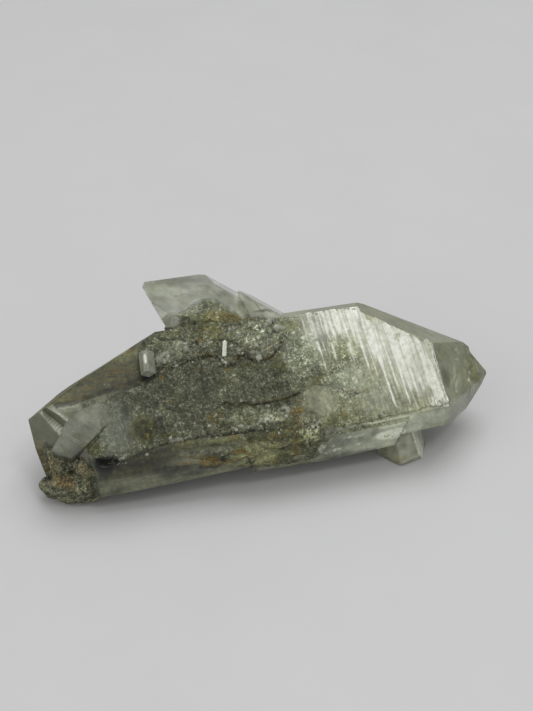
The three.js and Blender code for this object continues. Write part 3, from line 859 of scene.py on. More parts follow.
LOWER_SHADES = [
    (-29, 3, 7, 2.4, -0.28), (-30, 0.5, 7, 2, -0.22), (-22, -1.4, 5, 1.2, -0.28), (-34, -5, 9, 1.4, -0.05),
    # (-36, 5) and (-37, 2) are painted shade in the hollow at the left end.
    (-36, 5, 3.4, 3, -0.6), (-37, 2, 1.8, 3.4, -0.45), (-15, 3, 8, 1.5, 0.02), (-14, -2.4, 2.8, 1.3, -0.6),
    (-18, -1.3, 4, 0.35, -0.3), (-10, -2.9, 5, 0.35, -0.3), (-5, -2, 4.8, 2.6, 0.5), (1, 2, 4, 2.4, 0.11),
    (6.5, 1.6, 2, 1.9, 0.98), (14, -3.8, 5, 1.2, -0.12), (-20, -3.2, 5, 1.5, -0.3),
    # (-9, 5.2) is painted shadow under the front face's lower edge.
    (-27, -1.6, 5, 1.6, -0.12), (-18, -4.6, 5, 1.2, -0.1), (-9, 5.2, 8, 0.8, -0.2),
    (1.5, -3.5, 1.2, 0.8, -0.15), (21, -1.8, 1.2, 1.4, -0.35), (24, 0.6, 4.6, 1.8, 0.52),
    (16, -8, 6, 0.8, -0.38), (2, -4, 6, 2, 0.2), (9, -3, 1.2, 1.2, 0.3), (32, 0, 3, 2.4, 0.09),
    # (24.6, -4) lightens the white broken steps, partly as a painted glint.
    (37, 0, 2.4, 3, 0.27), (24.6, -4, 2.8, 1.3, 1.5), (28.6, 2.4, 5, 0.5, 0.14), (-33, 5, 3, 1, -0.3),
    # (-22, 5.2) is painted shadow under the front face's lower edge.
    (-22, 5.2, 8, 0.9, -0.3), (13, 2.4, 4, 1, -0.15), (-23, 1, 3, 2, -0.1),
]
LOWER_WHITE = [
    # (24.4, -4) and (26.6, -4.3) are white broken steps, partly painted glints.
    (7, 1.6, 1.2, 1.4, 0.6), (9, -3.4, 0.8, 1.0, 1), (4, -5, 1.2, 0.6, 0.6), (24.4, -4, 2.8, 1.3, 2.2),
    (26.6, -4.3, 1, 0.5, 1), (13, -5.6, 0.8, 0.6, 1.1), (16, -2.2, 2.4, 0.25, 1), (12, -4.2, 0.5, 0.4, 1),
    (17.5, -5.4, 0.4, 0.4, 0.9), (-4, 5, 1.2, 0.5, 0.5), (1, 6, 2.4, 0.6, 0.4), (-18, 0.2, 3.4, 0.16, 0.4),
    (20.6, 0.4, 1.4, 0.4, 0.9), (10.6, -6.2, 0.6, 0.25, 0.9),
]
LOWER_SMOOTH = [(-17, 2.4, 8, 2.6, 1.5), (-6, -3, 5, 2, 1.3)]
# Edges and grooves that run along the lower left crust.
LOWER_LINES = [
    ([(-24, -0.2), (-22, 0.3), (-20, -0.5), (-18, -1), (-15, -2.2), (-14, -2.5), (-10, -3), (-7, -2.2),
      (-5, -2)], 0.16, 0.25),
    ([(-12, -1.4), (-8, -0.5), (-5, -1.5)], 0.16, 0.2),
    ([(-22, 2.2), (-18, 1.2), (-14, 1.6), (-9, 0.6)], 0.12, 0.12),
    ([(-4, 0.2), (0, -0.6), (4, -0.2), (6, -1.4)], 0.14, 0.18),
]


def wandering(s, t, seed, reach=0.7, size=1.6):
    """Places shifted a little, so that what is drawn there gets ragged edges."""
    p = flat_points(s, t, seed)
    return s + reach * fractal(p, size, seed, 3), t + reach * fractal(p, size, seed + 5, 3)


def spots(s, t, table, seed, edge=0.45, add=False):
    """Strength of the soft, ragged spots in a table."""
    s, t = wandering(s, t, seed)
    total = np.zeros(s.shape)
    for x, y, long, wide, strength in table:
        value = strength * ease(1 - np.hypot((s - x) / long, (t - y) / wide), -edge, edge)
        total = total + value if add else np.maximum(total, value)
    return total


def signed_reach(s, t, outline):
    """Distance inside an outline, negative outside it."""
    outline = np.array(outline, float)
    points = np.stack([np.ravel(s), np.ravel(t)], axis=-1)
    ends = np.roll(outline, -1, axis=0)
    side = np.where(inside_loops(points, outline, ends), 1, -1)
    return (segment_distance(points, outline, ends) * side).reshape(np.shape(s))


def line_depth(s, t, table, seed):
    """Depth of the ragged lines in a table at each place."""
    s, t = wandering(s, t, seed, 0.25, 1.1)
    points = np.stack([s.ravel(), t.ravel()], axis=-1)
    depth = np.zeros(len(points))
    for line, wide, deep in table:
        line = np.array(line, float)
        d = segment_distance(points, line[:-1], line[1:])
        depth = np.maximum(depth, deep * ease(wide * 1.8 - d, 0, wide * 1.2))
    return depth.reshape(s.shape)


def shade_noise(s, t, seed):
    """Patchy light and dark at three sizes, with strands across the crystal's length."""
    p = flat_points(s, t, seed)
    patches = 0
    for k, (share, size, octaves) in enumerate(((0.10, 6, 2), (0.12, 1.9, 3), (0.16, 0.6, 2))):
        patches = patches + share * fractal(p, size, seed + k, octaves)
    return patches + 0.1 * noise(flat_points(s + 0.12 * t, t, seed), (0.5, 3.4, 1), seed + 3)


def face_looks(shade, **shares):
    """Values of a face: its shade as a tone, and its shares held between 0 and 1."""
    looks = {key: np.clip(value, 0, 1) for key, value in shares.items()}
    return looks | {"tone": np.clip(shade, *SHADE_RANGE) ** TONE_POWER}


def calm(s):
    """How strong the shades and relief are, as the left end of the front face is calmer."""
    return 1 - 0.6 * ease(-s, 26, 30)


def front_values(s, t):
    """Values that colour the front face."""
    p = flat_points(s, t)
    shade = 1.02 + calm(s) * shade_noise(s, t, 41) + 0.4 * ease(s, 1, 15)
    shade = shade + 1.15 * spots(s, t, SHADES, 43, add=True)
    white = spots(s, t, WHITE_SPOTS, 44) * ease(fractal(p + (0, 0, 4), 0.5, 49, 2), -0.25, 0.35)
    near_tip = ease(s + 0.25 * t + 2.5 * fractal(p + (0, 0, 5), 4, 50, 3), 15, 26)
    smooth = spots(s, t, SMOOTH_SPOTS, 48, 0.6) + 0.75 * near_tip
    patchy = 0.5 * ease(fractal(p + (0, 0, 6), 7, 47), 0.15, 0.6) * (1 - ease(s, 4, 12))
    rust = spots(s, t, RUST_SPOTS, 45, 0.5) + 0.5 * ease(fractal(p + (0, 0, 7), 2.2, 52), 0.4, 0.7)
    olive, cool = spots(s, t, OLIVE_SPOTS, 46) + patchy, spots(s, t, COOL_SPOTS, 53, 0.6)
    return face_looks(shade, rust=rust, olive=olive, crust=1 - smooth, cool=cool, frost=0.5 * white)


def tip_values(s, t):
    """Tone, olive and painted white glints of what the tip shows beyond the front face."""
    p = flat_points(s, t)
    feathers = noise(flat_points(s - 0.5 * t, t), (0.4, 1.4, 1), 73)
    feathers = feathers * ease(2 - np.hypot(s - 40.6, (t + 8) / 1.8), 0, 1)
    shade = 1 + spots(s, t, TIP_SHADES, 71, 0.5, add=True) + 0.26 * feathers + 0.05 * fractal(p, 1.4, 74, 3)
    return shade**TONE_POWER, spots(s, t, TIP_OLIVE, 75, 0.6), spots(s, t, TIP_WHITE, 76, 0.4)


def lower_values(s, q):
    """Values that colour the lower face."""
    p = flat_points(s, q)
    shade = 1.02 + shade_noise(s, q, 61) + 0.12 * fractal(p + (0, 0, 5), (5, 0.7, 1), 51, 3)
    shade = shade + spots(s, q, LOWER_SHADES, 53, add=True) + 0.45 * ease(s, 8, 22)
    shade = shade + 0.2 * (fractal(p + (0, 0, 15), (4, 0.5, 1), 60, 3) * ease(-s, 2, 14))
    white = 0.6 * spots(s, q, LOWER_WHITE, 54) * ease(fractal(p + (0, 0, 14), 0.5, 59, 2), -0.25, 0.35)
    rust, olive = spots(s, q, LOWER_RUST, 55, 0.5), spots(s, q, LOWER_OLIVE, 56)
    crust = 1 - 0.5 * spots(s, q, LOWER_SMOOTH, 58, 0.6) - ease(s, 6, 14)
    return face_looks(shade, rust=rust, olive=olive, crust=crust, cool=0.9 * ease(s, 5, 14), frost=white)


# Layers on the faces

# Rays towards a face start this far in front of it.
PROBE_HEIGHT = 6.0


def ground_lift(tree, face, s, t):
    """How far the body stands out of the face's plane at each place."""
    lift = np.zeros(s.shape)
    for i, point in enumerate(face.place(s, t, PROBE_HEIGHT)):
        hit = tree.ray_cast(Vector(point), Vector(-face.normal), 14)
        lift[i] = PROBE_HEIGHT - hit[3] if hit[0] else -1
    return lift


def layer_piece(name, face, outline, step, profile, material, slot, seed,
                ragged=(1.5, 0.5), sink=0.8, tree=None):
    """A layer with a ragged outline on a face of the main crystal, closed underneath.

    profile gives its height and its values from the places along and across the face and from the
    distance inside its outline. With a tree, the layer follows the body's own surface.
    """
    outline = np.array(outline, float)
    low, high = outline.min(0) - 1, outline.max(0) + 1
    columns, rows = (np.arange(*span) for span in zip(low, high, np.broadcast_to(step, 2)))
    s, t = np.meshgrid(columns, rows, indexing="ij")
    reach = signed_reach(s, t, outline)
    reach = reach + ragged[1] * fractal(flat_points(s, t, seed), ragged[0], seed, 4)
    near, far = slice(None, -1), slice(1, None)
    corners = [(near, near), (far, near), (far, far), (near, far)]
    index = np.arange(s.size).reshape(s.shape)
    quads = np.stack([index[corner] for corner in corners], axis=-1)
    quads = quads[np.all([reach[corner] > 0 for corner in corners], axis=0)]
    used, flat = np.unique(quads, return_inverse=True)
    quads = flat.reshape(quads.shape)
    s, t, reach = s.ravel()[used], t.ravel()[used], reach.ravel()[used]
    height, values = profile(s, t, reach)
    base = ground_lift(tree, face, s, t) if tree else np.zeros_like(s)
    top = face.place(s, t, base + height)
    under = face.place(s, t, base - sink)
    count = len(s)
    rim = open_rim(quads, count)
    ring, place = np.unique(rim, return_inverse=True)
    place = place.reshape(rim.shape)
    walls = np.concatenate([rim[:, ::-1], count + place], axis=1)
    faces = np.concatenate([quads, walls])
    tris = np.concatenate([faces[:, [0, 1, 2]], faces[:, [0, 2, 3]]])
    groups = np.tile(np.concatenate([np.full(len(quads), 0), np.full(len(walls), 1)]), 2)
    floor = underside(np.stack([s[ring], t[ring]], axis=-1), place) + count
    tris, groups = np.concatenate([tris, floor]), np.concatenate([groups, np.full(len(floor), 2)])
    points = np.concatenate([top, under[ring]])
    values = {k: np.concatenate([v, v[ring]]) for k, v in values.items()}
    mesh_object(name, points, tris, material, slot, sharp=groups, **values)


def open_rim(quads, count):
    """The edges that only one of the quads has, in the direction that it gives them."""
    edges = np.concatenate([quads[:, [k, (k + 1) % 4]] for k in range(4)])
    key = np.sort(edges, axis=1) @ np.array([count, 1])
    _, first, times = np.unique(key, return_index=True, return_counts=True)
    return edges[first[times == 1]]


def underside(points, rim):
    """Triangles that close the loops of a rim, facing away from the layer."""
    tris = triangles_within(points, rim.tolist(), points[rim[:, 0]], points[rim[:, 1]], 1e-7)
    return tris[:, ::-1]


# Outlines on the front face, and the stretches that two of them share.
UPPER_EDGE = [(-17.5, 12.9), (-12, 12.9), (-6, 13.2), (0, 12.7), (4, 12.1)]
LOWER_LEFT_EDGE = [(-18, -11), (-24, -11.3), (-29, -12), (-32, -13), (-33.5, -12.2)]
UPPER_CRUST = [
    (-23.5, 11.3), (-21.5, 12.4), *UPPER_EDGE, (7, 11.5), (9.6, 10), (7.5, 8.3), (5.0, 6.0), (3.6, 4.4),
    (2.2, 3.4), (0, 3.1), (-2, 3.2), (-2.9, 4.1), (-4.6, 4.9), (-5.6, 3.4), (-8, 3.5), (-9, 5.3),
    (-11, 6.3), (-14, 5.5), (-18, 5.1), (-22.3, 5), (-25.3, 4.2), (-25.6, 9),
]
MIDDLE_CRUST = [
    (-24, 3.4), (-22, 5.4), (-9, 5.5), (-2, 5), (4.5, 6), (9, 10), (11, 10.5), (12.5, 6), (13.2, 1.5),
    (12.6, -2.6), (6, -5), (4, -5.7), (0, -6), (-4, -5.9), (-6, -5.2), (-8, -5), (-10.8, -4.4),
    (-12, -10.4), *LOWER_LEFT_EDGE, (-36.6, -11.0), (-36.2, -8.4), (-35.4, -5.4), (-34, -1.2), (-33, 0),
    (-28, 1.8),
]
BACK_LEDGE = [
    (-20, 13.4), (-20, 11.2), (-16.6, 10.4), (-14.4, 9.2), (-12.6, 9), (-12, 7.4), (-10.2, 7), (-9.4, 9),
    (-5, 8.4), (-3.2, 6), (-0.6, 5.4), (1.4, 7.4), (3.6, 8.6), (5, 11), (5, 13.4),
]
PATCH_UNDER_STEPS = [
    (7, -4.9), (8.4, -4.2), (10.4, -3.9), (12.4, -5), (13.4, -7), (14.2, -9.4), (13, -11), (10, -10.6),
    (7.6, -9),
]
PATCH_NEAR_TIP = [(15, -2), (18, -1.4), (20.6, -2.6), (20.8, -5.6), (19.6, -7), (17, -7.2), (15.2, -5.4)]
PATCH_ON_CRUST = [(-20.6, 5.6), (-20, 9), (-17, 10), (-14, 8.8), (-12.4, 7), (-14, 5.6)]
PATCH_AT_LEFT = [(-34.6, -11), (-34.8, -4), (-32, -1.6), (-30.6, -5), (-30, -11)]
# Raised parts of the front layer: outline, height, softness of the step, and where it thins out, which
# for the patches is beyond the layer.
BEYOND = (40, 50)
RAISED = [
    (MIDDLE_CRUST, 0.4, 0.14, (3, 10)), (UPPER_CRUST, 0.65, 0.18, (1, 9)), (BACK_LEDGE, 0.45, 0.2, (1, 6)),
    (PATCH_UNDER_STEPS, 0.14, 0.12, BEYOND), (PATCH_NEAR_TIP, 0.1, 0.12, BEYOND),
    (PATCH_ON_CRUST, 0.2, 0.14, BEYOND), (PATCH_AT_LEFT, 0.16, 0.14, BEYOND),
]
FRONT_LAYER = [
    (-37.2, -11.3), (-38.4, -10.2), (-38.6, -8.9), (-36.8, -6.6), (-35.2, -1.2), (-33.4, 0.2), (-28.2, 1.8),
    (-25.2, 3), (-25.5, 8.6), (-23.9, 11.3), (-21.5, 12.5), *UPPER_EDGE, (7, 11.7), (9.0, 11.7), (15, 11.8),
    (22.8, 11.5), (23.4, 10.2), (24, 9.6), (24.3, 8.2), (25.9, 8.7), (27.4, 7.7), (28.2, 6.9), (31, 5.0),
    (34.3, 2.5), (35.1, 1.5), (36.2, 2.1), (36.7, 0), (37.3, -8), (37.7, -12.4), (35.5, -13.2),
    (33.3, -12.6), (30, -13.3), (22, -13.4), (15, -13.9), (5.5, -12.8), (-3, -11.8), (-12.5, -11.4),
    *LOWER_LEFT_EDGE,
]
# The crust on the lower face, and the flat crystal at the left end of the front face.
LOW_FACE_CRUST = [
    (-23.4, 3.4), (-22, 0.4), (-18, -0.9), (-14, -2.3), (-11, -2.9), (-8.5, -4.6), (-5.7, -6), (-1, -6.6),
    (4, -6.7), (8, -6.4), (10.2, -4), (10.6, -1), (12, 1), (12, 3), (4, 3.9), (-6, 4.6), (-13, 4.6),
    (-19, 4.4),
]
LEFT_CRYSTAL = [
    (-42.2, -3.1), (-39.5, -1.0), (-35.8, -0.2), (-33.7, 0.1), (-32.4, -1.7), (-33.9, -4.0), (-35.4, -6.4),
    (-39.9, -9.7), (-42.1, -10.9), (-44.8, -9.6), (-46.0, -8.4), (-43.8, -5.7),
]
# Where the growth steps are bright, as frost and as painted reflection, and close together.
BRIGHT = [
    (19.8, 12), (23, 11.8), (24.3, 8.6), (28, 7.4), (31, 5.4), (35, 2), (37, 2), (38, -13), (33.6, -13),
    (32.6, -9.6), (30.4, -8.2), (28.4, -4.4), (25.8, -1.4), (23.6, 1.6), (21, 4.6), (20, 8),
]
# Single growth steps, white as frost and partly as painted reflection: place along the face at STREAK_TOP,
# half width, top, bottom and strength.
# They lean by STREAK_LEAN for each millimetre across the face.
STREAKS = [
    (12.0, 0.6, 11.7, 9.4, 0.9), (12.0, 0.45, 10, 6.2, 0.7), (11.9, 0.3, 5.2, 1.2, 0.95),
    (11.95, 0.18, 0.4, -1.8, 0.9), (13.2, 0.2, 11.5, 5.8, 0.7), (13.1, 0.12, 5, 1.2, 0.6),
    (15.0, 0.22, 11.6, 6.2, 0.95), (14.85, 0.2, 4.4, 1.2, 0.8), (16.3, 0.25, 11.6, 9, 0.7),
    (17.1, 0.2, 11.6, 8.4, 0.65), (18.2, 0.6, 7.4, 4, 0.5), (18.5, 0.38, 3.8, 0, 0.8),
    (20.3, 0.55, 11.7, 4, 1), (20.9, 0.2, 6, -4, 1), (21.9, 0.6, 11.7, 6, 1), (22.2, 0.12, 3, -5.2, 0.8),
    (23.9, 0.2, 6, -11.6, 0.95), (25.7, 0.2, 4, -9.8, 0.95), (27.2, 0.24, 2, -12.4, 0.95),
    (29.75, 0.5, 3, -10.2, 1), (30.5, 0.22, -4.6, -10.8, 0.8), (32.7, 0.4, -2, -8.6, 0.9),
    (10.1, 0.12, 11.4, 8.6, 0.5), (9.2, 0.2, 11.6, 9.6, 0.6), (8.2, 0.25, 11.5, 10, 0.6),
    (26.6, 0.1, 0, -11.4, 0.5), (28.3, 0.12, -2, -12.6, 0.6), (24.8, 0.1, -1, -10.6, 0.5),
]
STREAK_LEAN, STREAK_TOP = 0.1, 11


def left_profile(s, t, reach):
    """A smooth flat crystal, lighter in its middle, with a few facets and wisps."""
    p = flat_points(s, t, 9)
    facet = noise(flat_points(s + 0.6 * t, t), (3, 9, 1), 56)
    height = 0.65 * ease(reach, -0.2, 0.3) + 0.05 * fractal(p, 4, 57, 2) + 0.12 * np.abs(facet)
    glow = ease(1 - np.hypot((s + 37.6) / 2.6, (t + 2.6) / 2), -0.2, 0.9)
    wisps = 0.12 * fractal(p, 3, 58, 3) + 0.12 * fractal(flat_points(s + t, t), (0.5, 2.4, 1), 60, 3)
    rim = ease(0.5 - reach, 0, 0.4)
    ridge = ease(0.7 * (s + 38) + 0.7 * (t + 4.4), -0.25, 0.25)
    shade = 1.02 + 0.03 * ridge + 0.14 * glow + 1.2 * wisps
    shade = shade - 0.14 * ease(-t, 7.5, 9.5) - 0.16 * rim - 0.06 * ease(s, -36, -34)
    stains = 0.5 * ease(fractal(p, 2.2, 59, 3), 0.1, 0.5)
    crust = 0.5 * ease(s - 0.3 * t, -36.5, -33)
    return height, {"tone": shade**TONE_POWER, "crust": crust, "olive": stains}


def streak_noise(s, t, size, length, seed):
    """Noise drawn out across the crystal's length, leaning a little towards the tip at the bottom."""
    return noise(flat_points(s + STREAK_LEAN * t, t), (size, length, 1), seed, np.eye(3))


def streak_frost_and_reflection(s, t):
    """Strength of the streaks in the table, with frayed sides and ends; their white is partly painted
    reflection.
    """
    u = s - STREAK_LEAN * (STREAK_TOP - t) + 0.1 * noise(flat_points(s, t), (1.5, 2, 1), 66)
    fray = 1.6 * streak_noise(s, t, 0.3, 2.5, 67)
    total = np.zeros(s.shape)
    for middle, half, top, bottom, strength in STREAKS:
        side = ease(1.5 - np.abs(u - middle) / half, 0, 1)
        ends = ease(t + fray, bottom - 0.6, bottom + 2.6) * ease(top - t, -0.5, 0.3)
        total = np.maximum(total, strength * side * ends)
    return total


def add_ledges(s, t, height):
    """The height with the raised parts on it, and how near each place is to their rims."""
    s_near, t_near = wandering(s, t, 102, 0.55, 1.3)
    rim = np.zeros(s.shape)
    for outline, thick, soft, (first, last) in RAISED:
        inner = signed_reach(s_near, t_near, outline)
        thick = thick * (1 - 0.85 * ease(s, first, last))
        height = height + thick * ease(inner, -soft, soft)
        rim = np.maximum(rim, ease(thick, 0.05, 0.3) * ease(-inner, -0.15, 0.1) * ease(inner, -0.7, -0.1))
    return height, rim


def growth_level(s, t):
    """How bright and close together the growth steps near the tip are; the brightness is partly painted
    reflection.
    """
    bright = ease(signed_reach(s, t, BRIGHT), -3.6, 2.2)
    upper_left = 0.7 * ease(s, 8.5, 12) * ease(t, 3, 8) * ease(22 - s, 0, 2)
    mottled = ease(fractal(flat_points(s, t, 64), 1.1, 71, 3), 0.05, 0.45)
    mottled = mottled * ease(s, 26.5, 29) * ease(t, -2, 2)
    fading = 0.24 * ease(s, 31, 34)
    fading = fading + 0.42 * ease(-t, 7.5, 9.5) * ease(s, 29.5, 31) * (1 - ease(s, 34, 35.5))
    return np.clip(np.maximum(bright, upper_left) - 0.35 * mottled - fading, 0, 1)


def growth_frost_and_reflection(s, t, fibre, fine):
    """Frost and painted reflection of the growth steps, as fibres and single streaks."""
    level = growth_level(s, t)
    frost = ease(1.5 * fibre + 1.65 * level - 0.95, -0.35, 0.75) * ease(level, 0.02, 0.25)
    frost = np.maximum.reduce([frost, 0.5 * level, streak_frost_and_reflection(s, t)])
    gaps = ease(streak_noise(s, t, 0.5, 9, 72), 0, 0.5) * ease(-t, -3, 4)
    gaps = gaps * ease(s, 26, 29) * (1 - ease(s, 33.4, 35))
    frost = frost * (1.02 - 0.2 * ease(s, 27, 31) + 0.12 * noise(flat_points(s, t), 3, 69) + 0.22 * fine)
    return frost * (1 - 0.5 * gaps)


def front_profile(s, t, reach):
    """Granular crust in flat ledges that thins out towards the bright growth steps near the tip."""
    values = front_values(s, t)
    p = flat_points(s, t, 101)
    granular = values["crust"]
    height, rim = add_ledges(s, t, 0.3 + 0.05 * fractal(p, 4, 103, 3))
    near, value = cells(s, t, 0.55, 104)
    coarse, large = cells(s, t, 1.4, 106)
    lumps = ease(large, 0.55, 0.9) * (0.65 - coarse)
    relief = 0.2 * fractal(p, 1.7, 108, 4) + 0.09 * (value - 1.6 * near) + 0.2 * lumps
    height = height + relief * (0.15 + 0.85 * granular) * (1 - 0.5 * ease(s, 2, 14)) * calm(s)
    depth = line_depth(s, t, CRACKS, 110)

    fibre = 0
    for share, size, length, seed in ((0.5, 1.0, 16, 61), (0.4, 0.45, 11, 62), (0.3, 0.24, 5, 63)):
        fibre = fibre + share * streak_noise(s, t, size, length, seed)
    fine = 0.5 * fractal(flat_points(s, t, 62), 0.45, 65, 2) + 0.6 * streak_noise(s, t, 0.22, 1.6, 70)
    # Painted highlights: sparkle along the tip's lower edge, and edge along the layer's rim near the tip.
    sparkle = ease(s, 32.5, 34.5) * ease(-t, 10.2, 11.6) * ease(fine, -0.4, 0.2)
    edge = ease(0.5 - reach, 0, 0.4) * ease(s, 33, 36) * ease(fine, -0.5, 0)
    frost = [growth_frost_and_reflection(s, t, fibre, fine), 0.95 * np.maximum(sparkle, edge), values["frost"]]
    stepped = ease(s, 8, 14)
    height = height + stepped * (0.12 * fibre + 0.03 * fine) + 0.25 * sparkle * fine
    height = height * ease(reach, -0.3, 0.4) - depth
    values["frost"] = np.clip(np.maximum.reduce(frost), 0, 1)
    values["crust"] = granular * (1 - 0.8 * values["frost"])
    values["olive"] = values["olive"] * (1 - 0.6 * ease(s, 20, 26))
    # Painted shade in the cracks and in the ring just outside the raised ledges; the grain value adds the
    # crust's own tone.
    dark = 1 - 0.35 * ease(depth, 0.02, 0.12) - 0.22 * rim + 0.1 * value * granular
    values["tone"] = values["tone"] * np.clip(dark, 0.2, 1.3) ** 1.5 * (1 + 0.5 * fine * stepped)
    return np.maximum(height, -0.5), values


def low_face_profile(s, q, reach):
    """Rough crust on the lower face, with a wavy lip along its left part."""
    values = lower_values(s, q)
    p = flat_points(s, q, 161)
    flake = fractal(p, (5, 2, 1), 161, 4) * 3
    level = np.floor(flake) + ease(flake - np.floor(flake), 0.82, 1.0)
    near, value = cells(s, q, 0.6, 164)
    coarse, large = cells(s, q, 1.5, 165)
    broken = fractal(p, 1.7, 168, 4)
    lumps = ease(large, 0.55, 0.9) * (0.7 - coarse)
    mossy = 1 - 0.7 * ease(-s, 4, 9)
    height = 0.35 + 0.13 * level + mossy * (0.22 * broken + 0.1 * (value - 1.6 * near) + 0.22 * lumps)
    line = line_depth(s, q, LOWER_LINES, 166)
    # A strip just above each line, made lighter as a painted highlight on the lip's edge.
    light = np.maximum(line_depth(s, q - 0.35, LOWER_LINES, 166) - line, 0)
    height = (height - line) * ease(reach, -0.3, 0.4)
    # Painted shade in the grooves of LOWER_LINES and the painted highlight above them; level, grain and
    # broken add the crust's own tone.
    dark = 1 + 0.05 * level + 0.12 * value * mossy + 0.3 * (mossy * broken) - 2.4 * line + 1.2 * light
    values["tone"] = values["tone"] * np.clip(dark, 0.25, 1.7)
    return np.maximum(height, -0.5), values


def build_layers(tree):
    """The crusts on the front and lower faces, and the flat crystal."""
    crust = quartz_material("chlorite_crust", rgb(97, 99, 79), rgb(113, 115, 93), gloss=(0.35, 0.5))
    smooth = quartz_material("left_quartz", rgb(98, 101, 88), rgb(118, 121, 108), gloss=(0.2, 0.35))
    layer_piece("front_crust", FRONT_MAP, FRONT_LAYER, (0.15, 0.2), front_profile, crust,
                "chlorite_quartz", 5, ragged=(1.3, 0.35))
    layer_piece("low_face_crust", LOWER_MAP, LOW_FACE_CRUST, 0.2, low_face_profile, crust,
                "chlorite_quartz", 9, tree=tree)
    layer_piece("left_crystal", FRONT_MAP, LEFT_CRYSTAL, 0.2, left_profile, smooth,
                "clear_quartz", 10, ragged=(3, 0.12), sink=3.2)


# Main crystal


# How far the blocks that cut the crystal reach, and how far under the floor.
CUT_REACH, CUT_DEPTH = 190.0, 60.0


def main_solid():
    """The main crystal with its ledges, cut at its shoulder, its notch and the floor."""
    body = solid_object(main_planes(MAIN_FACES))
    for faces in [STEPPED_FACES] + LEDGES:
        combine(body, solid_object(main_planes(faces)), "UNION")
    turn, lean, distance = SHOULDER_FACE
    beyond = main_planes([(turn + 180, -lean, -distance), (0, 90, SHOULDER_END)])
    right, back, up, left, front, down = np.vstack([np.eye(3), -np.eye(3)])
    sides = [(direction, CUT_REACH) for direction in (right, back, left, front)]
    combine(body, solid_object(beyond + sides + [(up, CUT_REACH), (down, CUT_REACH)]), "DIFFERENCE")
    combine(body, solid_object(block_planes(**NOTCH)), "DIFFERENCE")
    combine(body, solid_object([(up, 0.0)] + sides + [(down, CUT_DEPTH)]), "DIFFERENCE")
    return body


def notch_place(points):
    """Distance from the notch's middle line, and place along it."""
    axis = frame_along(NOTCH["yaw"], NOTCH["pitch"])[0]
    rel = points - np.array(NOTCH["middle"])
    along = rel @ axis
    return np.linalg.norm(rel - along[..., None] * axis, axis=-1), along


def turned(skin, direction, low, high):
    """From 0 to 1 as the skin turns towards a direction."""
    return ease(skin.normals @ np.asarray(direction), low, high)


def painted_notch_highlight(p, skin):
    """Bright ribs across the notch, painted as highlights on its upward faces."""
    away, along = notch_place(p)
    ribs = 0.5 + 0.5 * np.sin(along * 9 + 2 * noise(p, 1.5, 35))
    notch = ease(2.6 - away, 0, 0.3) * ease(skin.normals[:, 2], 0.2, 0.6)
    return notch * ease(7.5 - along, 0, 1) * (0.35 + 0.5 * ribs) * ease(along, -6, 4)


def body_zones(p, skin, s, t, low_s, low_q):
    """Shares of the parts of the main crystal that look different."""
    z = SimpleNamespace()
    z.front = turned(skin, FRONT_MAP.normal, 0.75, 0.9)
    z.lower = turned(skin, LOWER_MAP.normal, 0.8, 0.9) * (1 - z.front)
    z.top = turned(skin, TOP_MAP.normal, 0.9, 0.98)
    z.other = np.clip(1 - z.front - z.lower, 0, 1)
    z.tip = ease(s, 33, 38)
    z.upper_tip = z.tip * (1 - z.lower)
    z.end = turned(skin, -AXIS, 0.4, 0.6)
    z.strip = z.front * ease(-t, 11, 12) * ease(-s, 10, 15)
    z.upward = z.other * ease(skin.normals[:, 2], 0.2, 0.5) * ease(s, 10, 16)
    z.upper_left = ease(-s, 23, 26) * ease(t - 0.05 * s, 2, 4)
    z.shoulder = z.upper_left * z.front
    z.hollow = z.lower * ease(1 - np.hypot((low_s + 35.8) / 3.4, (low_q - 5.2) / 2.8), 0, 0.5)
    z.groove = 0.5 * line_depth(s, t, GROOVES, 33) * z.front
    top_middle, low_ends = z.top * ease(s, -12, -2), z.lower * ease(np.abs(low_s + 1), 13, 16)
    z.dusty = 1 - np.maximum.reduce([z.tip, z.end, z.strip, z.upward, top_middle, low_ends])
    z.broken_end = z.end * ease(fractal(p, 2, 38, 3) - 0.3 * (p[:, 2] - 12.5), -0.4, 0.4)
    z.tip_dust = ease(s, 41.5, 45) * ease(fractal(p, 2, 37, 3), -0.4, 0.3) * (1 - z.lower)
    bent, across = wandering(s, t, 93, 1.4, 4)
    z.fibres = z.shoulder * noise(flat_points(bent + 0.4 * across, across), (3, 0.5, 1), 92)
    return z


def body_tone(p, s, z, on_front, on_lower, tip_tone):
    """Tone of the main crystal, from those of its front, its lower face and its tip."""
    patches = 0.1 * fractal(p, 7, 31, 2) + 0.1 * fractal(p, 2, 32, 3)
    # The top face is made lighter as painted light.
    tone = z.other * (1 + 0.15 * z.top * ease(s, -14, 6) + patches) ** TONE_POWER + z.lower * on_lower
    tone = tone + z.front * on_front * (1 - 0.45 * z.tip)
    for factor in (
        # A lighter tip and painted light on upward faces; then painted shade in the grooves and in the
        # hollow.
        1 + np.maximum(0.75 * z.tip, 0.1 * z.upward) * z.other,
        np.clip(1 - 2.8 * z.groove, 0.2, 1),
        1 - 0.5 * z.hollow,
        1 + z.upper_tip * (tip_tone - 1),
        1 - 0.3 * z.end,
        1 - 0.5 * z.strip * ease(fractal(p, (6, 2, 1), 36, 3), -0.5, 0.3),
        1 - 0.12 * z.tip_dust,
        1 + 0.5 * z.fibres,
    ):
        tone = tone * factor
    return tone


def body_crust(p, s, z, on_front):
    """How granular the main crystal is."""
    crust = z.dusty * ease(fractal(p, 9, 5) + 0.5 * z.other - 0.5 * z.top - 0.2 * z.lower, -0.1, 0.3)
    front_crust = z.dusty * ease(s, -39.5, -37.5) * on_front
    crust = np.where(z.front > 0.5, front_crust, crust) * (1 - 0.6 * z.shoulder)
    return np.maximum.reduce([crust, z.broken_end, 0.7 * z.hollow, 0.45 * z.shoulder, 0.5 * z.tip_dust])


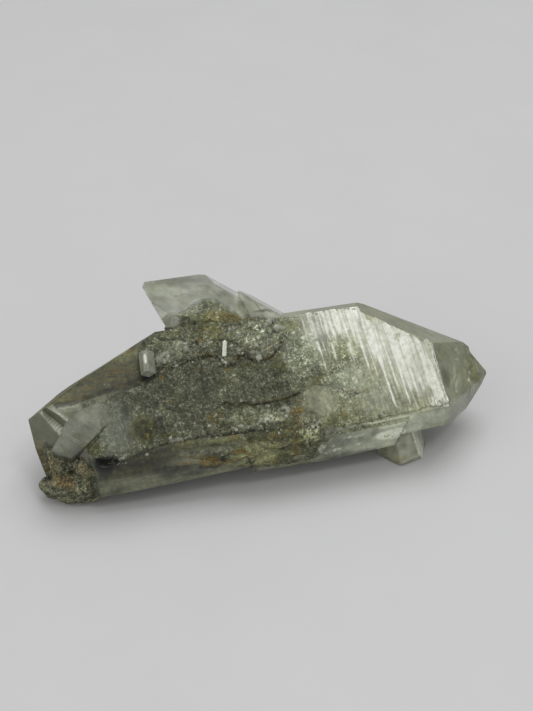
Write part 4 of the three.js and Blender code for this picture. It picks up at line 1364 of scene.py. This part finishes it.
def body_stains(p, z, on_front, on_lower, tip_olive):
    """Rust and olive of the main crystal."""
    stains = {}
    for key, seed in (("rust", 25), ("olive", 26)):
        rest = z.dusty * 0.7 * ease(fractal(p, 5, seed), 0.15, 0.5)
        stains[key] = z.front * on_front[key] * (1 - z.tip) + z.lower * on_lower[key] + z.other * rest
    olive = np.maximum.reduce([stains["olive"], z.upper_tip * tip_olive, z.upper_left * (1 - z.lower)])
    end_rust = 0.8 * z.broken_end * ease(fractal(p, 2.5, 39, 3), -0.2, 0.3) * ease(-p[:, 0], 39, 41)
    rust = np.maximum.reduce([stains["rust"], end_rust, 0.3 * ease(-z.fibres, 0.2, 0.45)])
    return {"rust": rust, "olive": olive}


def body_values(p, skin):
    """Looks of the main crystal, and how deep its grooves are.

    Its tip is clear, its smooth faces are dusty, and its back and root have crust.
    """
    s, t = FRONT_MAP.seen(p)
    low_s, low_q = LOWER_MAP.seen(p)
    on_front, on_lower = front_values(s, t), lower_values(low_s, low_q)
    tip_tone, tip_olive, tip_white = tip_values(s, t)
    z = body_zones(p, skin, s, t, low_s, low_q)
    clear_tip = 0.3 * z.tip * (1 - 0.4 * ease(fractal(p, 7, 8), 0.0, 0.5))
    clear_low, clear_top = 0.2 * z.lower * ease(-low_s, 14, 24), 0.2 * z.top * ease(s, 8, 16)
    clear = np.maximum.reduce([clear_tip, clear_low, clear_top, 0.3 * z.strip])
    # Painted glints on the tip and painted highlights on the notch ribs.
    frost = np.clip(z.tip * tip_white + painted_notch_highlight(p, skin), 0, 1)
    frost = np.maximum(frost, z.lower * on_lower["frost"])
    values = body_stains(p, z, on_front, on_lower, tip_olive) | {
        "tone": body_tone(p, s, z, on_front["tone"], on_lower["tone"], tip_tone),
        "crust": body_crust(p, s, z, on_front["crust"]),
        "cool": z.front * on_front["cool"] + z.lower * on_lower["cool"] + 0.5 * z.tip,
        "clear": clear * (1 - frost) * (1 - z.shoulder),
        "frost": frost,
    }
    return values, z.groove + 1.1 * z.hollow


def build_main_crystal():
    low = main_solid()
    polygons = [list(f.vertices) for f in low.data.polygons]
    tree = BVHTree.FromPolygons([v.co for v in low.data.vertices], polygons)

    def spacing(normal, middle):
        """Finer triangles on the notch and on the tip's front."""
        if notch_place(middle)[0] < 2.2:
            return 0.2
        if middle @ AXIS > 38 and normal @ FRONT_MAP.normal > 0:
            return 0.28
        return 0.4 if normal @ FRONT_MAP.normal > -0.1 else 0.55

    skin = Skin(low, spacing)
    bpy.data.objects.remove(low)
    p = skin.verts
    values, groove = body_values(p, skin)
    crust, rough = values["crust"], fractal(p, 3.2, 11, 5)
    steps = np.abs(noise(flat_points(p @ AXIS, 0.02 * p[:, 0]), (0.9, 1, 1), 13))
    height = crust * (0.4 * rough - 0.1)
    height = height + (1 - crust) * (0.05 * fractal(p, 6, 15, 2) + 0.03 * steps) - groove
    under_layer = ease(signed_reach(*FRONT_MAP.seen(p), FRONT_LAYER), 0.4, 1.0)
    under_layer = under_layer * turned(skin, FRONT_MAP.normal, 0.9, 0.99)
    height = height * (1 - under_layer) - 0.3 * under_layer
    p = p + skin.normals * (height * ease(skin.edge_distance, 0, 0.6) + 0.08 * crust * rough)[:, None]
    material = quartz_material("dusty_quartz", rgb(103, 106, 84), rgb(129, 131, 107),
                               {"Color": (0.52, 0.60, 0.40, 1.0), "Density": 40.0})
    body = mesh_object("main_crystal", p, skin.tris, material, "chlorite_quartz",
                       sharp=skin.tri_face, **values)
    return body, tree


# Crystals around the main one


# How far the faces of the small crystals are from flat.
WAVE = 0.03


def crystal_piece(name, shapes, material, spacing, values, seed):
    """Crystals grown into each other as one closed piece."""
    low = solid_object(pointed_planes(*shapes[0]))
    for shape in shapes[1:]:
        combine(low, solid_object(pointed_planes(*shape)), "UNION")
    skin = Skin(low, lambda normal, middle: spacing)
    bpy.data.objects.remove(low)
    p = skin.verts
    axis = frame_along(*shapes[0][1:3])[0]
    ribs = noise(flat_points(p @ axis, np.zeros(len(p))), (0.8, 1, 1), seed)
    looks = values(p, skin)
    lift = WAVE * fractal(p, 3, seed + 1, 2) + 0.4 * WAVE * ribs
    lift = lift + 0.25 * looks["crust"] * fractal(p, 1.2, seed + 2)
    p = p + skin.normals * (lift * ease(skin.edge_distance, 0, 0.4))[:, None]
    mesh_object(name, p, skin.tris, material, "clear_quartz", sharp=skin.tri_face, **looks)


# Chlorite and rust at the foot of the upper crystals, as outlines of (x, z) on an upright plane at this y.
CLOUD_Y = 9
CLOUD = [
    (-18.5, 24), (-17.8, 26.2), (-15.1, 29.1), (-11.8, 31.2), (-9.6, 31.4), (-7.5, 29.6), (-4.3, 26.7),
    (-4, 22),
]
OCHRE = [(-12.2, 24), (-11.8, 27.2), (-10, 28.2), (-8, 28), (-5.4, 27.2), (-4, 26.4), (-4, 22)]
VEIL = [(-22.7, 35.1), (-21.2, 35.3), (-14.9, 33.8), (-15.4, 32.4), (-18.8, 31.2), (-22.3, 32.2)]
# Lighter and darker places of the upper crystals on the same plane: x, z, half width, half height, change.
UPPER_SHADES = [
    (-18.5, 36.6, 4.6, 1.0, -0.08), (-11, 35.4, 3, 1.4, -0.06), (-17, 32.2, 2.2, 0.2, -0.14),
    (-21.4, 29.4, 2, 3.4, -0.06), (-17.4, 30.4, 3, 1.2, 0.05), (-12.6, 33.4, 2.6, 1, 0.05),
    (-7.4, 32, 1.8, 1.6, -0.1), (-8.8, 32.6, 2, 1, -0.06), (-8.2, 30.2, 0.5, 1.2, 0.1),
    (-6.4, 28.6, 0.5, 1.4, 0.1), (-5, 31.4, 0.4, 3, 0.1), (-1.4, 29.6, 2, 1.6, 0.02),
    (-9.6, 36, 0.5, 0.35, 0.3), (-6.6, 29.8, 0.8, 0.9, -0.08), (0.6, 28, 2, 0.2, -0.2),
    # (-3.9, 27.6) is painted light in the shadow of the twin crystal.
    (-3.9, 27.6, 1.1, 1.8, 0.34), (-4.6, 31.4, 1, 2.4, 0.08),
]
UPPER_OLIVE = [
    (-18.5, 36.4, 5, 1.2, 0.3), (-10, 32.8, 2.4, 1.2, 0.3), (-2, 30, 3, 2, 0.25), (0.5, 27.9, 2, 0.25, 0.8),
]


def on_upright(p):
    """Where the line of sight through each point meets the upright plane."""
    p = p - ((p[:, 1] - CLOUD_Y) / SIGHT[1])[:, None] * SIGHT
    return np.stack([p[:, 0], p[:, 2]], axis=-1)


def within(points, outline, soft, seed):
    """From 0 outside an outline to 1 inside it, over a ragged edge."""
    x, z = wandering(points[:, 0], points[:, 1], seed, 0.8, 1.5)
    return ease(signed_reach(x, z, outline), -soft, soft)


def upper_values(p, skin):
    """Looks of the upper crystals: clear above, with a cloud of chlorite and ochre at their foot, and
    painted light that evens out their lit and shaded facets.
    """
    flat = on_upright(p)
    zones = ((CLOUD, 0.9, 81), (OCHRE, 0.7, 82), (VEIL, 0.7, 83))
    cloud, ochre, veil = (within(flat, *zone) for zone in zones)
    front = turned(skin, -SIGHT, -0.1, 0.2)
    cloud, ochre = cloud * front, ochre * front
    x, z = flat[:, 0], flat[:, 1]
    shade = 0.97 + spots(x, z, UPPER_SHADES, 87, 0.5, add=True)
    shade = shade + 0.08 * fractal(flat_points(x, z), (4, 1.2, 1), 86, 3)
    shade = shade + 0.07 * veil + 0.05 * noise(flat_points(x + z, z), (0.5, 4, 1), 88)
    speckle = ease(fractal(flat_points(x, z), 0.7, 89, 2), 0.25, 0.6)
    glow = 1.4 + 0.5 * fractal(p, 1.5, 85) + 0.62 * ochre
    # Painted light and shade by facet direction: faces turned from the key light and two facets that stay
    # dark are lightened, faces turned up, right and back are darkened and less clear.
    lit = skin.normals @ np.array([-0.5, 0.2, 0.84])
    shaded, away = 1 - ease(lit, -0.4, 0.3), ease(-lit, 0.35, 0.85)
    behind = turned(skin, (0.55, 0.45, 0.7), 0.8, 0.95)
    facing = 0.15 * turned(skin, (0.53, -0.58, 0.62), 0.93, 0.99)
    facing = facing + 0.28 * turned(skin, (-0.4, -0.9, 0.2), 0.93, 0.99)
    shade = shade + (glow - shade) * ease(cloud, 0.6, 1)
    shade = shade * (1 + (0.22 + 0.3 * cloud) * shaded + 0.3 * away)
    shade = shade * (1 - 0.2 * behind + facing * (1 - cloud))
    clear = np.clip(0.42 - 0.13 * veil + 0.1 * fractal(p, 4, 84), 0, 1)
    return {
        "clear": clear * (1 - cloud) * (1 - 0.5 * behind),
        "crust": cloud,
        "rust": 0.95 * ochre * (1 - 0.5 * speckle),
        "olive": np.maximum(0.2 * cloud, spots(x, z, UPPER_OLIVE, 90)),
        "cool": 0.7 * cloud * (1 - ochre),
        "tone": shade**TONE_POWER,
        "frost": 0.3 * speckle * ochre,
    }


def dusty_values(clear, seed, dust=0.0, frost=0.0, rim=0.0):
    """Looks of small crystals that are this clear, with some dust and rust, and light edges and frost
    painted as highlights.
    """

    def values(p, skin):
        crust = np.clip(dust * 2 * ease(fractal(p, 4, seed), -0.1, 0.5), 0, 1)
        light = np.clip(frost + rim * ease(0.3 - skin.edge_distance, 0, 0.3), 0, 1)
        return {
            "clear": clear * (1 - crust) * (1 - light),
            "crust": crust,
            "frost": light,
            "rust": 0.6 * crust * ease(fractal(p, 3, seed + 1), 0.2, 0.5),
            "tone": 1.0 + 0.2 * fractal(p, 3, seed + 2),
        }

    return values


def side_values(p, skin):
    """Dusty olive grey, with painted light on its right-facing side so that it looks evenly light on its
    left and right.
    """
    dull = dusty_values(0.25, 186, 0.5, rim=0.12)(p, skin)
    dull["tone"] = 0.66 + 0.5 * ease(skin.normals[:, 0], 0, 0.8) + 0.12 * fractal(p, 1, 188, 3)
    dull["olive"] = np.full(len(p), 0.5)
    return dull


def tablet_values(p, skin):
    """A greyish blunt crystal with one long painted glint and painted highlights on its edges."""
    tip, yaw, pitch = TABLET[:3]
    axis = frame_along(yaw, pitch)[0]
    along = (p - np.array(tip)) @ axis
    side = p[:, 0] - tip[0] - along * axis[0]
    # The glint and the light rim are painted highlights.
    glint = ease(1 - np.hypot((along + 3.6) / 1.1, (side + 0.2) / 0.32), -0.2, 0.3)
    rim = 0.14 * ease(0.25 - skin.edge_distance, 0, 0.25)
    return {
        "clear": 0.4 * (1 - glint),
        "crust": 0.25 * ease(fractal(p, 1.2, 187), 0.1, 0.4),
        "frost": np.clip(0.85 * glint + rim, 0, 1),
        "tone": 0.85 + 0.2 * fractal(p, 1.2, 189),
    }


def foot_values(p, skin):
    """Painted light on its right face, darker and olive on its left one, with ochre near its point."""
    right = ease(skin.normals[:, 0], 0.5, 0.7)
    ochre = ease(2.6 - np.linalg.norm(p - np.array([30.6, -8.4, 1.6]), axis=1), 0, 2)
    ochre = ochre * ease(fractal(p, 1.4, 194), -0.3, 0.3)
    cloudy = ease(fractal(p, 3, 195, 3), -0.3, 0.4)
    return {
        "clear": 0.25 * (1 - ochre),
        "crust": 0.5 * cloudy * (1 - right),
        "rust": 0.7 * ochre,
        "olive": 0.7 * (1 - right),
        "tone": (1.15 + 0.12 * right + 0.2 * fractal(p, 1.6, 196, 3)) ** TONE_POWER,
    }


def build_crystals():
    clear = quartz_material("clear_quartz", rgb(176, 180, 160), rgb(214, 217, 203),
                            {"Color": (0.62, 0.70, 0.52, 1.0), "Density": 26.0}, gloss=(0.04, 0.12))
    for name, shapes, spacing, looks, seed in (
        ("upper_crystals", [UPPER, UPPER_TWIN], 0.3, upper_values, 82),
        ("foot_crystal", [FOOT], 0.35, foot_values, 12),
        ("rear_crystals", [REAR, REAR_UPPER], 0.5, dusty_values(0.55, 185, 0.3), 13),
        ("side_crystal", [SIDE], 0.25, side_values, 12),
        ("tablet_crystal", [TABLET], 0.16, tablet_values, 14),
        # The needle's white is a painted highlight.
        ("needle_crystal", [NEEDLE], 0.12, dusty_values(0.1, 188, 0.0, 0.9), 14),
    ):
        crystal_piece(name, shapes, clear, spacing, looks, seed)
    return clear


# Fragments and small crystals


def shape_bank(shape, count, seed):
    """Different copies of a shape, each as points and triangles."""
    return [solid_arrays(shape(np.random.default_rng(seed + k))) for k in range(count)]


def fragment(rng):
    """A sharp-edged fragment about one across."""
    directions = rng.normal(size=(13, 3))
    directions /= np.linalg.norm(directions, axis=1, keepdims=True)
    directions = np.vstack([directions, np.eye(3), -np.eye(3)])
    return [(d, rng.uniform(0.28, 0.55)) for d in directions]


def small_crystal(rng):
    """An upright pointed crystal around the origin, about one long."""
    return pointed_planes((0, 0, 0.75), 0, 89.9, 0, rng.uniform(0.2, 0.34, 6), TIP_LEAN, EVEN_TIP, 1.1)


def scatter(name, bank, places, directions, sizes, material, slot, seed, **values):
    """Copies from the bank, turned and sized, joined as one piece."""
    rng = np.random.default_rng(seed)
    points, tris, start, counts = [], [], 0, []
    for place, direction, size in zip(places, directions, sizes):
        shape, faces = bank[rng.integers(len(bank))]
        w = direction / np.linalg.norm(direction)
        u = np.cross(w, rng.normal(size=3))
        u /= np.linalg.norm(u)
        points.append(place + (shape * size) @ np.stack([u, np.cross(w, u), w]))
        tris.append(faces + start)
        start += len(shape)
        counts.append(len(shape))
    values = {k: np.repeat(v, counts) for k, v in values.items()}
    points, tris = np.concatenate(points), np.concatenate(tris)
    mesh_object(name, points, tris, material, slot, smooth=False, **values)


# Fragments land from this far in front of a face, and those deeper than this behind it are left out.
LANDING_HEIGHT, DEEPEST = 7.0, -3


def landing(pieces, face, s, t):
    """How far the built surface stands out of a face at each place."""
    found = []
    for start in (face.place(s, t, LANDING_HEIGHT) + SHIFT) * MM:
        hits = [piece.ray_cast(Vector(start), Vector(-face.normal)) for piece in pieces]
        reach = [(Vector(start) - hit[1]).length for hit in hits if hit[0]]
        found.append(LANDING_HEIGHT - min(reach) / MM if reach else np.nan)
    return np.array(found)


def along_line(line, count, spread, rng):
    """Random places near a line."""
    line = np.array(line, float)
    steps = np.linalg.norm(np.diff(line, axis=0), axis=1)
    at = rng.uniform(0, steps.sum(), count)
    marks = np.concatenate([[0], np.cumsum(steps)])
    s, t = np.interp(at, marks, line[:, 0]), np.interp(at, marks, line[:, 1])
    return s + rng.normal(0, spread, count), t + rng.normal(0, spread, count)


# Where fragments lie: face, line, how many, spread, size, tone and share that is frosted.
RUBBLE = [
    (FRONT_MAP, [(-25, 4.3), (-22, 4.9), (-14, 5.4), (-11, 6.2), (-9, 5.4)], 90, 0.5, 0.7, 0.95, 0.06),
    (FRONT_MAP, [(-8.5, 4), (-5, 3.2), (-3.5, 4.6), (-2, 3.2), (2.4, 3.5), (4.8, 5.8), (7.5, 8.4)],
     90, 0.4, 0.55, 1, 0.05),
    (FRONT_MAP, [(-17, 11), (-10, 8), (-4, 7), (1, 7)], 190, 1.8, 0.75, 1.12, 0.1),
    (FRONT_MAP, [(-12, -10.6), (-11.4, -7), (-10.4, -4.8)], 70, 0.5, 0.65, 1.15, 0.1),
    (FRONT_MAP, [(-30, -12), (-24, -11), (-12, -10.8), (-3, -11), (5, -12.4), (15, -13.6), (24, -13.2)],
     190, 0.5, 0.6, 0.95, 0.07),
    (FRONT_MAP, [(-4, -9), (2, -9.4), (8, -12.5), (5, -9)], 110, 0.8, 0.6, 1.2, 0.08),
    (FRONT_MAP, [(-35, -12), (-33.8, -12.4), (-31.6, -13)], 26, 0.25, 0.45, 1.1, 0.3),
    (FRONT_MAP, [(-18, 3.6), (-16.5, 2.6)], 14, 0.5, 0.6, 1.2, 0.3),
    (FRONT_MAP, [(-8.4, 4.2), (-7.6, 3.4)], 6, 0.2, 0.8, 1.3, 0.9),
    (LOWER_MAP, [(-16, -2), (-14, -2.5), (-10, -3), (-5, -2), (-2, -4.6), (6, -6)],
     70, 0.35, 0.5, 0.8, 0.02),
    (LOWER_MAP, [(-4, 4), (2, 1), (8, 2), (6, -3)], 120, 1.6, 0.8, 0.95, 0.06),
    # White fragments on the broken steps, partly painted glints.
    (LOWER_MAP, [(22.5, -3.6), (25, -4), (27, -4)], 14, 0.3, 0.5, 1.9, 1),
    (LOWER_MAP, [(-6.6, -2.6), (-5.8, -4.8), (-5.1, -6.8)], 40, 0.4, 0.8, 0.85, 0.02),
]
# Broken white edge along the top of the front face.
CHIPS = [
    (FRONT_MAP, [(0.8, 11.4), (5, 11.4), (10, 11.3), (15, 11.4), (23, 11.2)], 60, 0.18, 0.55, 1.2, 0.8),
    (FRONT_MAP, [(33.4, -12), (37.4, -12.6)], 26, 0.4, 0.6, 1.2, 0.8),
    # Chips along the tip side, partly a painted highlight on the edge there.
    (FRONT_MAP, [(23, 11), (24.4, 8.2), (28, 7), (31, 5), (35, 1.5), (36.6, 0), (37.4, -12)],
     60, 0.12, 0.3, 1.1, 0.6),
]


def rubble_piece(name, rows, pieces, material, slot, seed):
    """The fragments of a table as one piece."""
    rng = np.random.default_rng(seed)
    places, directions, sizes, tones, frosts, rusts = [], [], [], [], [], []
    for face, line, count, spread, size, tone, frosted in rows:
        s, t = along_line(line, count, spread, rng)
        lift = landing(pieces, face, s, t)
        kept = np.isfinite(lift) & (lift > DEEPEST)
        s, t, lift = s[kept], t[kept], lift[kept]
        across = 0.62 * size * np.clip(rng.lognormal(0, 0.45, len(s)), 0.4, 2)
        places.append(face.place(s, t, lift - 0.15 * across))
        directions.append(face.normal + rng.normal(0, 0.5, (len(s), 3)))
        sizes.append(across[:, None] * rng.uniform(0.7, 1.2, (len(s), 3)))
        tones.append(tone + rng.normal(0, 0.2, len(s)))
        frosts.append((rng.uniform(size=len(s)) < frosted) * rng.uniform(0.15, 0.5, len(s)))
        rusts.append((rng.uniform(size=len(s)) < 0.16) * rng.uniform(0.3, 1, len(s)))
    tones, frosts, rusts = (np.concatenate(v) for v in (tones, frosts, rusts))
    places, directions, sizes = (np.concatenate(v) for v in (places, directions, sizes))
    scatter(name, shape_bank(fragment, 14, seed), places, directions, sizes, material, slot, seed + 1,
            tone=tones, frost=frosts, rust=rusts, crust=np.full(len(tones), 0.6))


def chance(x, y, z):
    """The repeatable value between -1 and 1 that places the solids' small crystals."""
    value = math.sin(x * 127.1 + y * 311.7 + z * 74.7) * 43758.5453
    return (value - math.floor(value)) * 2 - 1


# How far the solids' upper crust stands out of the front face.
UPPER_CRUST_HEIGHT = 1.3


def druse_shapes():
    """The small crystals that stand on the upper crust."""
    shapes = []
    for i in range(16):
        spans = ((1, -21, 4), (2, 4, 12.5))
        s, t = (low + (high - low) * (chance(i, k, 0) + 1) / 2 for k, low, high in spans)
        tip = FRONT_MAP.place(s, t, UPPER_CRUST_HEIGHT + 0.6 + 0.5 * chance(i, 3, 0))
        radii = (0.55 * (1 + 0.4 * chance(i, 4, 0)),) * 6
        yaw, pitch = -80 + 70 * chance(i, 5, 0), 50 + 30 * chance(i, 6, 0)
        shapes.append((tip, yaw, pitch, 30 * chance(i, 7, 0), radii, TIP_LEAN, EVEN_TIP, 3))
    return shapes


def spray_shapes():
    """The small crystals that point back and out of the matrix behind."""
    shapes = []
    for i in range(9):
        tip = [m + h * chance(i, k, 11) for k, (m, h) in enumerate(zip((-10, 15.5, 14), (11, 2, 7)))]
        size = 1 + 0.35 * chance(i, 6, 11)
        radii = tuple(1.7 * (size + 0.15 * chance(i, k, 12)) for k in range(6))
        yaw, pitch = 95 + 45 * chance(i, 3, 11), 8 + 38 * chance(i, 4, 11)
        shapes.append((tip, yaw, pitch, 30 * chance(i, 5, 11), radii, TIP_LEAN, EVEN_TIP, 9))
    return shapes


def build_small_pieces(pieces, crust, clear):
    rubble_piece("seam_rubble", RUBBLE, pieces, crust, "chlorite_quartz", 301)
    rubble_piece("edge_chips", CHIPS, pieces, clear, "clear_quartz", 321)
    crystal_piece("crust_crystals", druse_shapes(), clear, 0.3, dusty_values(0.35, 191, 0.35), 3)
    crystal_piece("rear_spray", spray_shapes(), clear, 0.45, dusty_values(0.5, 192, 0.3), 4)
    rng = np.random.default_rng(331)
    s, t = rng.uniform(-22, 5, 90), rng.uniform(4.5, 12.6, 90)
    lift = landing(pieces, FRONT_MAP, s, t)
    places = FRONT_MAP.place(s, t, lift)[np.isfinite(lift)]
    count = len(places)
    directions = FRONT_MAP.normal + rng.normal(0, 0.6, (count, 3))
    sizes = rng.uniform(0.4, 1.0, count)
    tones, rusts = rng.normal(0.75, 0.15, count), (rng.uniform(size=count) < 0.2) * 0.6
    scatter("small_crystals", shape_bank(small_crystal, 8, 341), places, directions, sizes,
            clear, "clear_quartz", 351, clear=np.full(count, 0.5), tone=tones, rust=rusts)


# Matrix


def ball():
    bm = bmesh.new()
    bmesh.ops.create_icosphere(bm, subdivisions=4, radius=1)
    points = np.array([v.co for v in bm.verts])
    tris = np.array([[v.index for v in f.verts] for f in bm.faces])
    bm.free()
    return points, tris


def build_matrix(name, lumps, rock):
    """Lumps of rock grown together, remeshed as one skin and roughened."""
    points, tris = ball()
    verts, faces = [], []
    for centre, half in lumps:
        rough = 1 + 0.2 * fractal(points * 2 + centre, 1.0, 95, 3)
        verts.append(np.array(centre) + points * np.array(half) * rough[:, None])
        faces.append(tris + len(points) * (len(verts) - 1))
    mesh = bpy.data.meshes.new("lumps")
    mesh.from_pydata(np.concatenate(verts).tolist(), [], np.concatenate(faces).tolist())
    joined = link(bpy.data.objects.new("lumps", mesh))
    remesh = joined.modifiers.new("skin", "REMESH")
    remesh.mode, remesh.voxel_size = "VOXEL", 0.3
    bpy.context.view_layer.update()
    mesh = bpy.data.meshes.new_from_object(joined.evaluated_get(bpy.context.evaluated_depsgraph_get()))
    bpy.data.objects.remove(joined)
    count = len(mesh.vertices)
    p, normals = np.zeros(count * 3), np.zeros(count * 3)
    mesh.vertices.foreach_get("co", p)
    mesh.vertex_normals.foreach_get("vector", normals)
    p, normals = p.reshape(-1, 3), normals.reshape(-1, 3)
    quads = np.array([list(f.vertices) for f in mesh.polygons])
    ridges = 1 - 2 * np.abs(fractal(p, 3.0, 96, 4))
    hollow = ease(fractal(p, 3.4, 90, 3), 0.15, 0.5)
    height = 0.8 * fractal(p, 2.0, 97, 4) + 0.6 * (ridges - 0.6) - 1.3 * hollow
    p = p + normals * height[:, None]
    p[:, 2] = np.maximum(p[:, 2], 0)
    rust = ease(fractal(p, 3.2, 98), -0.12, 0.28)
    fibres = noise(flat_points(p[:, 0] + 0.5 * p[:, 2], p[:, 2] - 0.3 * p[:, 0]), (5, 0.45, 1), 94)
    fibres = fibres * ease(p[:, 0], -42, -37) * ease(9 - p[:, 2], 0, 3)
    # Higher places lighter and hollows darker, as painted shade; fibres and noise are the rock's own tone.
    tone = 0.95 + 0.6 * fractal(p, 1.6, 99, 3) + 0.3 * height - 0.35 * hollow + 0.4 * fibres
    mesh_object(name, p, quads, rock, "matrix", rust=rust, tone=np.clip(tone, 0.15, 1.6))


# Camera, light and floor


def aim(thing, place, target):
    thing.location = Vector(place)
    thing.rotation_euler = (Vector(target) - Vector(place)).to_track_quat("-Z", "Y").to_euler()


def area_light(name, place, target, size, power):
    light = link(bpy.data.objects.new(name, bpy.data.lights.new(name, "AREA")))
    light.data.energy, light.data.size = power, size
    aim(light, place, target)


def build_stage():
    target = (CAMERA_TARGET + SHIFT) * MM
    place = target - CAMERA_DISTANCE * SIGHT
    camera = link(bpy.data.objects.new("camera", bpy.data.cameras.new("camera")))
    camera.data.lens, camera.data.sensor_width = 60, 36
    camera.data.clip_start, camera.data.clip_end = 0.01, 20
    aim(camera, place, target)
    bpy.context.scene.camera = camera

    floor_mesh = bpy.data.meshes.new("floor")
    floor_mesh.from_pydata([(-6, -6, 0), (6, -6, 0), (6, 6, 0), (-6, 6, 0)], [], [(0, 1, 2, 3)])
    n = Nodes("pale_floor")
    colour = n.mix(n.noise(30), rgb(200, 200, 202), rgb(206, 206, 207))
    floor_mesh.materials.append(n.finish({"Base Color": colour, "Roughness": 0.55}))
    floor = link(bpy.data.objects.new("floor", floor_mesh))

    glint = (FRONT_MAP.place(GLINT_PLACE, 0, 0) + SHIFT) * MM
    sight = (glint - place) / np.linalg.norm(glint - place)
    mirrored = sight - 2 * (sight @ FRONT_MAP.normal) * FRONT_MAP.normal
    area_light("glint", glint + 0.8 * mirrored, glint, 0.16, 0.7)
    for name, direction, size, power in LIGHTS:
        area_light(name, target + LIGHT_DISTANCE * np.array(direction), target, size, power)

    world = bpy.data.worlds.new("world")
    world.use_nodes = True
    background = world.node_tree.nodes["Background"].inputs
    background["Color"].default_value = (1.0, 1.0, 0.98, 1.0)
    background["Strength"].default_value = 0.42
    scene = bpy.context.scene
    scene.world = world
    scene.view_settings.view_transform = "Standard"
    scene.cycles.sample_clamp_indirect = 4.0


build_stage()
main_crystal, body_tree = build_main_crystal()
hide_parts(NODE)
build_layers(body_tree)
clear_quartz = build_crystals()
rock = rock_material()
build_matrix("matrix_lumps", LUMPS, rock)
build_matrix("rear_matrix", REAR_LUMPS, rock)
seen_from_front = ("main_crystal", "front_crust", "low_face_crust", "left_crystal")
seen_from_front = [bpy.data.objects[name] for name in seen_from_front]
build_small_pieces(seen_from_front, bpy.data.materials["chlorite_crust"], clear_quartz)
